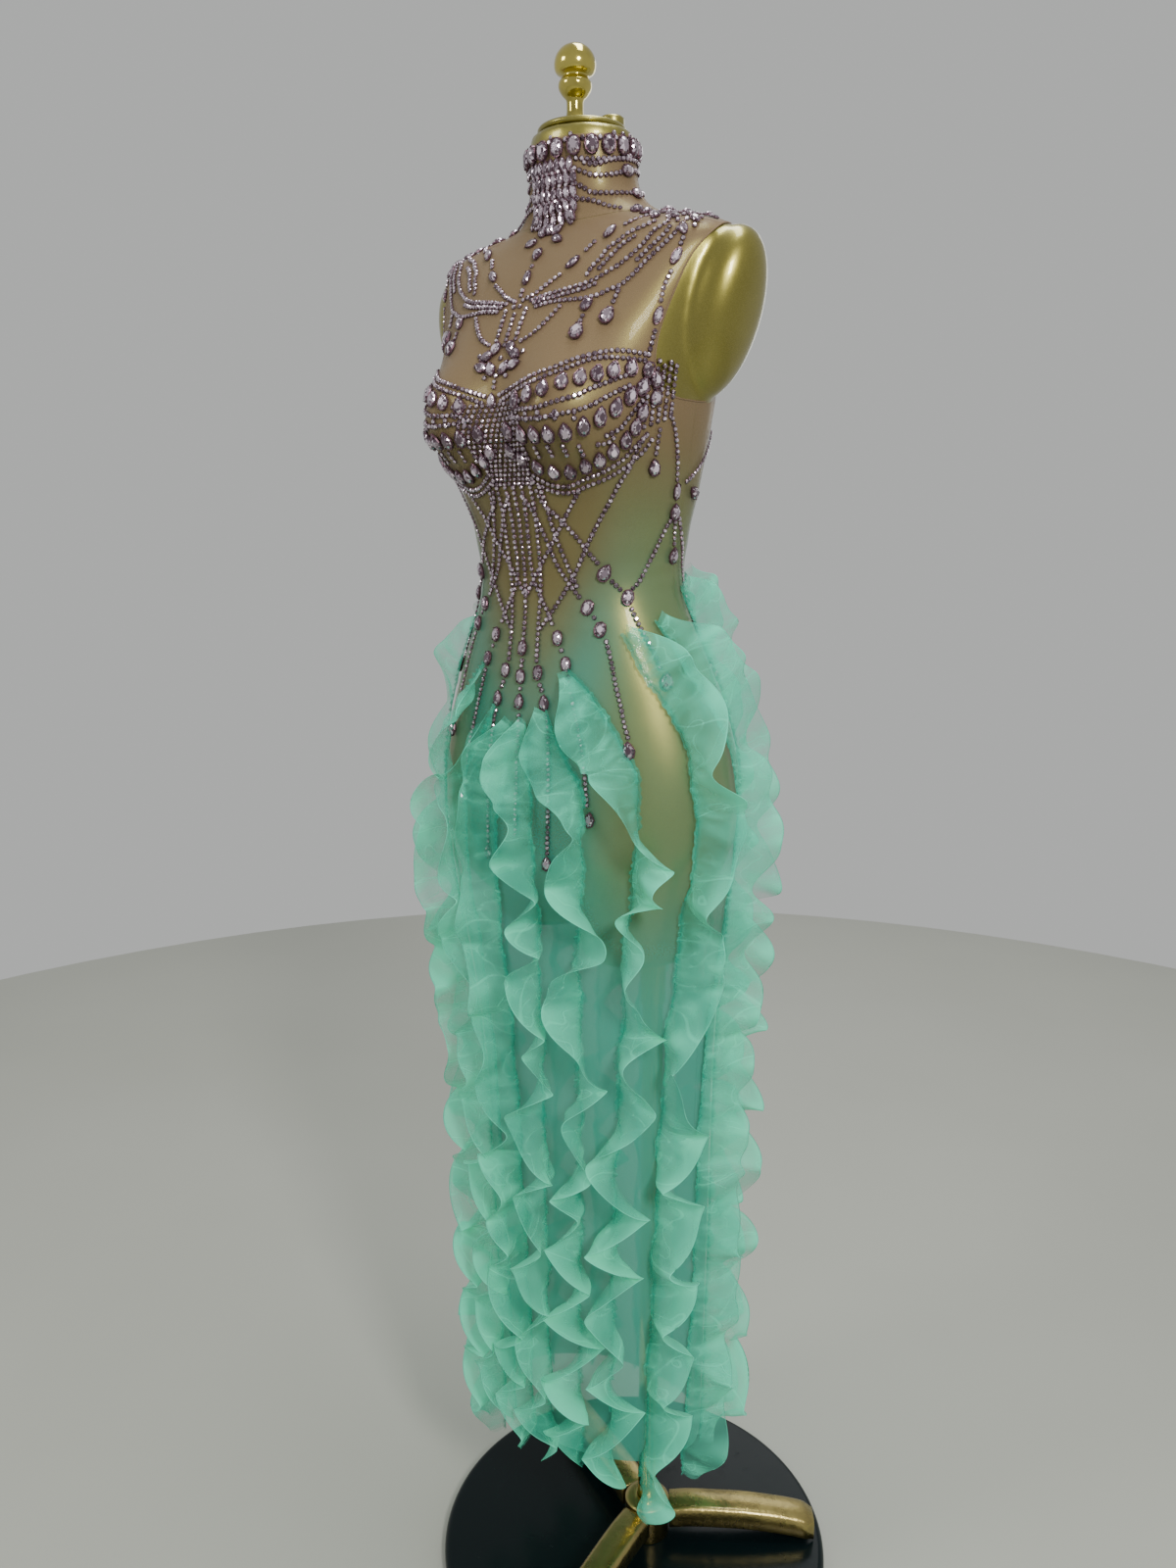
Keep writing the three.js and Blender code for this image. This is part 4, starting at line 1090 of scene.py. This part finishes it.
def cup_crystals(name, side):
    """Rows of large drops and small rounds over one cup, and the cluster at its outer edge."""
    stones = Stones(6 if side > 0 else 7)
    rows = [
        [(2, 1358), (11, 1366), (19, 1373), (26, 1378), (32, 1385), (38, 1390), (44, 1394), (50, 1395),
         (61, 1393)],
        [(3, 1352), (12, 1361), (20, 1367), (27, 1373), (33, 1379), (38, 1385), (44, 1388), (53, 1388),
         (61, 1387)],
        [(12, 1343), (23, 1343), (30, 1347), (38, 1353), (42, 1359), (47, 1365), (55, 1374)],
        [(8, 1338), (15, 1335), (24, 1334), (31, 1336), (37, 1339), (43, 1344), (48, 1352), (56, 1364)],
        [(9, 1289), (18, 1277), (27, 1274), (36, 1281), (44, 1287), (53, 1297), (60, 1311), (66, 1324)],
        [(8, 1283), (18, 1271), (27, 1268), (37, 1275), (45, 1281), (54, 1291), (63, 1306), (68, 1320)],
        [(48, 1318), (54, 1325), (57, 1334), (62, 1352)], [(44, 1311), (49, 1313), (53, 1320)],
    ]
    rows += [[(turn, 1312), (turn + 0.5, 1300)] for turn in (12, 18, 24.5, 31, 37.5)]
    rows += [[(turn, 1341), (turn, 1329)] for turn in (10.5, 18, 24, 31, 38)]
    for row in rows:
        stones.chain([(turn * side, height) for turn, height in row], both=False)
    upper = [(12, 1351), (18.5, 1355), (25, 1359), (31.5, 1365), (37.5, 1369), (43, 1373), (48.5, 1377),
             (55, 1380)]
    middle = [(6.5, 1326), (14, 1322), (20.5, 1321), (27, 1321), (34, 1322), (41, 1327), (47, 1335),
              (52.5, 1344), (57, 1355), (61, 1364)]
    lower = [(4.5, 1309), (9, 1301), (15.5, 1293), (22.5, 1288), (30, 1288), (37.5, 1293), (44, 1298),
             (50.5, 1306), (56, 1316), (60, 1328), (62.5, 1341)]
    for row, size, fan in ((upper, (12.5, 16.5), -0.25), (middle, (12.5, 18.5), 0.35),
                           (lower, (12, 17), 0.5)):
        for turn, height in row:
            stones.put("drop", turn * side, height, size, (turn - 30) * fan * side)
    for turn in np.arange(63.5, 77, 3.0):
        for height in np.arange(1328 + (turn - 63.5), 1388, 5.6):
            stones.put("round", turn * side, height + stones.drift.uniform(-1, 1))
    for turn, height, lean in [(62, 1379, 10), (66, 1371, -15), (67, 1355, 20)]:
        stones.put("oval", turn * side, height, (11.5, 15), lean * side, STONE_SEAT + 0.8)
    ending = "left" if side > 0 else "right"
    stones.piece(name, f"cup_stones_upper_{ending}", f"cup_stones_middle_{ending}",
                 f"cup_stones_lower_{ending}")


def stomacher_crystals():
    """The dense rows between and below the cups."""
    stones = Stones(8)
    for row, height in enumerate(np.arange(1278, 1352, 4.5)):
        half = 14.5 - (1352 - height) * 0.06
        for turn in np.arange(-half, half + 0.1, 2.2):
            stones.put("round", turn + (row % 2) * 1.1, height, (4.4, 4.4))
    stones.piece("stomacher_crystals", "waist_stomacher")


def waist_crystals():
    """Strands that fall from the stomacher, the open lattice and the drops over waist and hips."""
    stones = Stones(9)
    for line in ([(0, 1277), (0, 1200), (0, 1121)], [(0, 1102), (0, 1093)], [(0, 1073), (0, 1067)]):
        stones.chain(line, both=False)
    for line in (
            [(4, 1277), (4.2, 1230), (4.6, 1190), (8, 1170), (13, 1150), (16, 1134)],
            [(19, 1114), (20.5, 1108)],
            [(8.5, 1277), (9.5, 1230), (9.5, 1180), (8, 1140), (7.5, 1098)], [(9, 1078), (10.5, 1069)],
            [(13, 1277), (17, 1240), (22, 1210), (30, 1172)],
            [(56, 1290), (50, 1274), (46, 1260), (42, 1246), (35, 1218), (30, 1195), (25, 1178), (17, 1155),
             (8, 1130)],
            [(11, 1273), (14, 1257), (20, 1246), (30, 1224), (35, 1211), (41, 1198)],
            [(47, 1183), (53, 1172)],
            [(57, 1156), (60, 1136), (62, 1124), (65, 1109), (66, 1094)],
            [(32, 1271), (26, 1251), (20, 1229), (13, 1206), (7, 1188), (1, 1168)],
            [(3, 1268), (8, 1251), (12, 1233), (16, 1213), (19, 1198), (24, 1182), (31, 1163)],
            [(36, 1147), (38, 1142)],
            [(41, 1124), (42, 1103), (42.5, 1079), (43.5, 1059), (44, 1041), (45, 1026)]):
        stones.chain(line)
    stones.big("oval", [(0, 1112, 0), (0, 1083, 0), (8.5, 1088, 0), (18, 1124, 0), (21.5, 1098, 0)],
               size=(10.5, 15))
    stones.big("drop", [(0, 1057, 0), (11.5, 1058, 0)], size=(11, 16))
    stones.big("oval", [(56, 1165, 20), (34, 1155, 30), (39, 1133, 20)], size=(12, 15.5))
    stones.big("drop", [(44, 1190, 30), (67.5, 1082, 15), (44.5, 1014, 0)])
    stones.piece("waist_crystals", "drop_chain_inner_left", "drop_chain_inner_right",
                 "drop_chain_outer_left", "drop_chain_outer_right")


def side_crystals():
    stones = Stones(10)
    for line in ([(75, 1345), (79, 1325), (81.5, 1300), (82.5, 1281)],
                 [(82, 1243), (79, 1236), (75, 1222), (70, 1202), (64, 1182), (58, 1172)],
                 [(85, 1243), (86, 1230), (87, 1218)],
                 [(88, 1246), (94, 1226), (101, 1202), (107, 1180), (109, 1153), (111, 1127), (116, 1103),
                  (118, 1092)],
                 [(71, 1329), (70, 1315), (69, 1303)], [(65, 1322), (60, 1306), (56, 1290)],
                 [(117, 1334), (114, 1317), (104, 1300), (95, 1287), (89, 1279)]):
        stones.chain(line)
    stones.big("marquise", [(83, 1270, 0)])
    stones.big("drop", [(83.5, 1250, 0), (87.5, 1207, 0), (119, 1080, 20), (68, 1292, 0), (99, 1270, -60)],
               size=(12, 16.5))
    stones.piece("side_crystals", "drop_chain_side_left", "drop_chain_side_right")


def hip_crystals():
    """Loose strands that run on down beneath the tops of the ruffles."""
    stones = Stones(11)
    for line in ([(12, 1047), (13, 1020), (13.5, 900)], [(22, 1088), (26, 1016), (28, 953)]):
        stones.chain(line)
    stones.chain([(0, 1045), (0, 990), (0, 915)], both=False)
    stones.big("drop", [(13.5, 891, 0), (29, 942, 0)], size=(10.5, 15))
    stones.piece("hip_crystals")


collar_crystals()
throat_crystals()
shoulder_crystals()
chest_crystals()
brooch_crystals()
cup_crystals("cup_crystals_left", 1)
cup_crystals("cup_crystals_right", -1)
stomacher_crystals()
waist_crystals()
side_crystals()
hip_crystals()


# ------------------------------------------------------------------ display form
def capped(points, faces, ring, columns, rows, upward):
    """Adds a fan over one end ring of a grid that runs round by columns."""
    middle = np.mean([points[i * rows + ring] for i in range(columns)], axis=0)
    points = np.concatenate([points, [middle]])
    for i in range(columns):
        fan = [i * rows + ring, (i + 1) % columns * rows + ring, len(points) - 1]
        faces.append(fan if upward else fan[::-1])
    return points, faces


def ringed(grid, upward=True):
    """Points and faces of a closed body from a grid of columns round it and rows up it."""
    columns, rows = grid.shape[:2]
    faces = grid_faces(columns, rows, around=True).tolist()
    points, faces = capped(grid.reshape(-1, 3), faces, 0, columns, rows, False)
    return capped(points, faces, rows - 1, columns, rows, True)


TORSO_FOOT = 4.3
TORSO_PITCH = 6.0
NECK_MIDDLE = [CENTRE_X, -4]


def torso_mesh():
    turns = np.linspace(0, 360, 144, endpoint=False)
    levels = even_levels(TORSO_FOOT, LAST_LEVEL, TORSO_PITCH)
    turn, level = np.meshgrid(turns, levels, indexing="ij")
    body = figure(turn, level)
    middle = section_at(TORSO_FOOT)[1:3]
    under = []
    for scale, drop in ((0.62, 84), (0.78, 74), (0.88, 56), (0.94, 36), (0.985, 14)):
        ring = body[:, 0].copy()
        ring[:, :2] = middle + (ring[:, :2] - middle) * scale
        ring[:, 2] -= drop
        under.append(ring)
    top = body[:, -1].copy()
    top[:, 2] = NECK_TOP
    rim = top.copy()
    rim[:, 2] -= 1.5
    inner = top.copy()
    inner[:, :2] = NECK_MIDDLE + (inner[:, :2] - NECK_MIDDLE) * 0.97
    return ringed(np.concatenate([np.stack(under, 1), body, rim[:, None], inner[:, None]], 1))


def stub_mesh(side):
    """The round end of the form at an armhole: an upright oval, fuller than a ball towards its face."""
    rise = np.linspace(-math.pi / 2 + 0.02, math.pi / 2 - 0.02, 60)
    around = np.linspace(0, 2 * math.pi, 96, endpoint=False)
    a, u = np.meshgrid(around, rise, indexing="ij")
    girth = np.cos(u) ** 0.8
    rise = ARM_STUB["tall"] * np.sin(a) * girth
    out = ARM_STUB["across"] + ARM_STUB["wide"] * power(np.sin(u), 0.9) + ARM_STUB["slant"] * rise
    grid = np.stack([CENTRE_X + side * out, ARM_STUB["y"] + ARM_STUB["deep"] * np.cos(a) * girth,
                     ARM_STUB["z"] + rise], -1)
    return ringed(grid)


def thigh_mesh(side, bottom, y):
    rows = [(935, 86, -1, 84, 86), (880, 85, 0, 82, 87), (825, 79, y + 4, 72, 82),
            (bottom + 12, 73, y, 62.5, 73.5), (bottom + 5, 73, y, 61, 72), (bottom + 1, 73, y, 58, 69),
            (bottom, 73, y, 55, 66)]
    around = np.linspace(0, 2 * math.pi, 72, endpoint=False)
    z, x, cy, wide, deep = np.array(rows, float)[::-1].T
    steps = np.linspace(0, len(rows) - 1, 40)
    z, x, cy, wide, deep = (np.interp(steps, np.arange(len(rows)), v) for v in (z, x, cy, wide, deep))
    middle = section_at(level_at(z))[:, 1] + side * x
    grid = np.stack([middle + wide * np.cos(around)[:, None], cy + deep * np.sin(around)[:, None],
                     np.broadcast_to(z, (len(around), len(z)))], -1)
    return ringed(grid)


def moulded_body(name, bodies, material, voxel=4.0, passes=9):
    """One moulded skin over bodies that overlap, with its inner corners filled softly."""
    points = np.concatenate([body[0] for body in bodies])
    faces, start = [], 0
    for body in bodies:
        faces.extend([[index + start for index in face] for face in body[1]])
        start += len(body[0])
    rough = make_object(f"{name}_rough", points, faces, material)
    skin = rough.modifiers.new("skin", "REMESH")
    skin.mode, skin.voxel_size = "VOXEL", voxel * MM
    soft = rough.modifiers.new("soft", "SMOOTH")
    soft.factor, soft.iterations = 0.5, passes
    graph = bpy.context.evaluated_depsgraph_get()
    mesh = bpy.data.meshes.new_from_object(rough.evaluated_get(graph))
    bpy.data.objects.remove(rough, do_unlink=True)
    mesh.name = name
    mesh.polygons.foreach_set("use_smooth", [True] * len(mesh.polygons))
    made = bpy.data.objects.new(name, mesh)
    bpy.context.collection.objects.link(made)
    return made


gold_form = moulded_body("gold_form", [torso_mesh(), stub_mesh(1), stub_mesh(-1), thigh_mesh(1, 775, -7),
                                       thigh_mesh(-1, 785, 22)], FORM_GOLD)
finished(gold_form, "gold_form", "form_body")


def turned_piece(name, profile, middle, material, slot, node, radius=1.5, sides=96):
    points, faces = lathe(rounded_profile(profile, radius), sides)
    piece = make_object(name, points + np.array(middle, float), faces, material)
    return finished(piece, slot, node)


PLUG_TOP = NECK_TOP + 7.6
turned_piece("neck_lid", [(0.1, 0), (44, 0), (46, 3), (44, 6), (0.1, 7)], (*NECK_MIDDLE, NECK_TOP + 0.3),
             FORM_GOLD, "gold_form", "neck_cap")
turned_piece("neck_button", [(0.1, 0), (13, 0), (13, 8), (11, 10), (0.1, 10)], (CENTRE_X + 24, 14, PLUG_TOP),
             FORM_GOLD, "gold_form", "neck_plug", 1.0, 48)
FINIAL = [(0.1, 0), (15, 0), (15, 4), (10, 8), (8.5, 14), (8.5, 26), (13, 30), (17, 36), (17, 42), (13.5, 46),
          (13.5, 48), (20, 51), (21.5, 58), (20, 66), (15, 73), (8, 77), (0.1, 78)]
turned_piece("gold_finial", FINIAL, (CENTRE_X - 6, -8, PLUG_TOP), FINIAL_GOLD, "gold_metal", "finial", 4.0)
turned_piece("gold_pole", [(0.1, 20.3), (11.5, 20.3), (11.5, 774.2), (0.1, 774.2)], (0, 0, 0), FINIAL_GOLD,
             "gold_metal", "pole", 0.5, 48)


def ring_piece(name, profile, material, slot, node, sides=64):
    """A turned ring from a closed profile that stays off the axis."""
    profile = np.array(profile, float)
    angle = np.linspace(0, 2 * np.pi, sides, endpoint=False)
    points = np.stack([np.cos(angle)[:, None] * profile[:, 0], np.sin(angle)[:, None] * profile[:, 0],
                       np.broadcast_to(profile[:, 1], (sides, len(profile)))], -1).reshape(-1, 3)
    rows = len(profile)
    faces = []
    for i in range(sides):
        k = (i + 1) % sides
        for j in range(rows):
            n = (j + 1) % rows
            faces.append([i * rows + j, k * rows + j, k * rows + n, i * rows + n])
    piece = make_object(name, points, faces, material)
    bevel = piece.modifiers.new("eased", "BEVEL")
    bevel.width, bevel.segments, bevel.limit_method = 0.8 * MM, 3, "ANGLE"
    bevel.angle_limit = math.radians(40)
    return finished(piece, slot, node)


ring_piece("gold_sleeve", [(11.8, 714), (14, 714), (14, 774.2), (11.8, 774.2)], FINIAL_GOLD, "gold_metal",
           "pole_sleeve")
ring_piece("cast_hub", [(11.8, 20.3), (27, 20.3), (27, 66), (21, 70), (11.8, 70)], CAST_GOLD, "gold_metal",
           "base_hub")

DISC = dict(x=-14, y=-9, radius=233, height=20, edge=5)
turned_piece("black_disc", [(0.1, 0), (228, 0), (233, 5), (233, 15), (228, 20), (0.1, 20)],
             (DISC["x"], DISC["y"], 0), BLACK_GLOSS, "black_disc", "base_disc", 3.5, 160)

LEG = dict(width=38, height=25, wall=5, turns=(36, 156, 276), start=27.3)


def leg_piece(name, turn, node):
    """An upturned channel from the hub that bends down to the rim of the disc."""
    way = np.array([math.cos(math.radians(turn)), math.sin(math.radians(turn))])
    middle = np.array([DISC["x"], DISC["y"]], float)
    along = middle @ way
    aside = np.linalg.norm(middle - along * way)
    reach = along + math.sqrt(DISC["radius"] ** 2 - aside**2) - 8
    foot = DISC["height"] + 0.3 + LEG["height"]
    knots = [(LEG["start"], 64), (60, 66), (120, 64), (reach - 40, 58), (reach - 14, 52),
             (reach - 4, foot + 2)]
    path, _ = smooth_line(knots, 40)
    half, tall, wall = LEG["width"] / 2, LEG["height"], LEG["wall"]
    inside = half - wall
    section = [(-half, -tall), (-half, -6), (-half + 2, -2.4), (-half + 6, 0), (half - 6, 0),
               (half - 2, -2.4), (half, -6), (half, -tall), (inside, -tall), (inside, -wall),
               (-inside, -wall), (-inside, -tall)]
    points = []
    for out, top in path:
        narrow = 1 - 0.28 * float(smoothstep(out, reach - 16, reach - 4))
        for side, drop in section:
            x, y = out, side * narrow
            points.append((x * way[0] - y * way[1], x * way[1] + y * way[0], top + drop))
    count, rows = len(section), len(path)
    faces = []
    for k in range(rows - 1):
        faces.extend(band_faces(k * count, (k + 1) * count, count))
    ends = [[0, 1, 2, 3, 10, 11], [3, 4, 9, 10], [4, 5, 6, 7, 8, 9]]
    last = (rows - 1) * count
    for end in ends:
        faces.append(end[::-1])
        faces.append([last + k for k in end])
    piece = make_object(name, points, faces, CAST_GOLD)
    bm = bmesh.new()
    bm.from_mesh(piece.data)
    bmesh.ops.recalc_face_normals(bm, faces=bm.faces)
    bm.to_mesh(piece.data)
    bm.free()
    bevel = piece.modifiers.new("eased", "BEVEL")
    bevel.width, bevel.segments, bevel.limit_method = 1.2 * MM, 2, "ANGLE"
    bevel.angle_limit = math.radians(50)
    return finished(piece, "gold_metal", node)


for index, turn in enumerate(LEG["turns"]):
    leg_piece(f"cast_leg_{index + 1}", turn, f"base_leg_{index + 1}")


# ------------------------------------------------------------------ room and light
def make_floor():
    points, faces = lathe([(0.1, -12), (2600, -12), (2600, 0), (0.1, 0)], 96)
    floor = make_object("floor", points, faces, FLOOR, smooth=False)
    floor.location.z = -0.0005


def area_light(name, place, target, size, power, colour):
    data = bpy.data.lights.new(name, "AREA")
    data.shape, data.size, data.size_y = "RECTANGLE", size[0], size[1]
    data.energy, data.color = power, colour
    light = bpy.data.objects.new(name, data)
    light.location = place
    light.rotation_euler = (Vector(target) - Vector(place)).to_track_quat("-Z", "Y").to_euler()
    bpy.context.collection.objects.link(light)


def make_light():
    world = bpy.data.worlds.new("soft_room")
    world.use_nodes = True
    world.node_tree.nodes["Background"].inputs[0].default_value = (0.62, 0.63, 0.62, 1)
    world.node_tree.nodes["Background"].inputs[1].default_value = 0.80
    bpy.context.scene.world = world
    middle = (CENTRE_X * MM, 0, 1.0)
    area_light("key_right", (2.1, -1.35, 2.35), middle, (0.42, 0.6), 60, (1.0, 0.98, 0.94))
    area_light("fill_left", (-1.3, -2.2, 2.6), middle, (0.7, 0.7), 22, (1.0, 0.99, 0.96))
    area_light("ceiling", (0.1, 0.3, 3.2), (CENTRE_X * MM, 0, 0.0), (1.6, 0.5), 30, (0.96, 0.98, 1.0))
    area_light("back_fill", (-0.8, 2.4, 2.0), middle, (1.4, 1.4), 9, (1.0, 1.0, 1.0))


make_floor()
make_light()
bpy.context.scene.cycles.transparent_max_bounces = 40
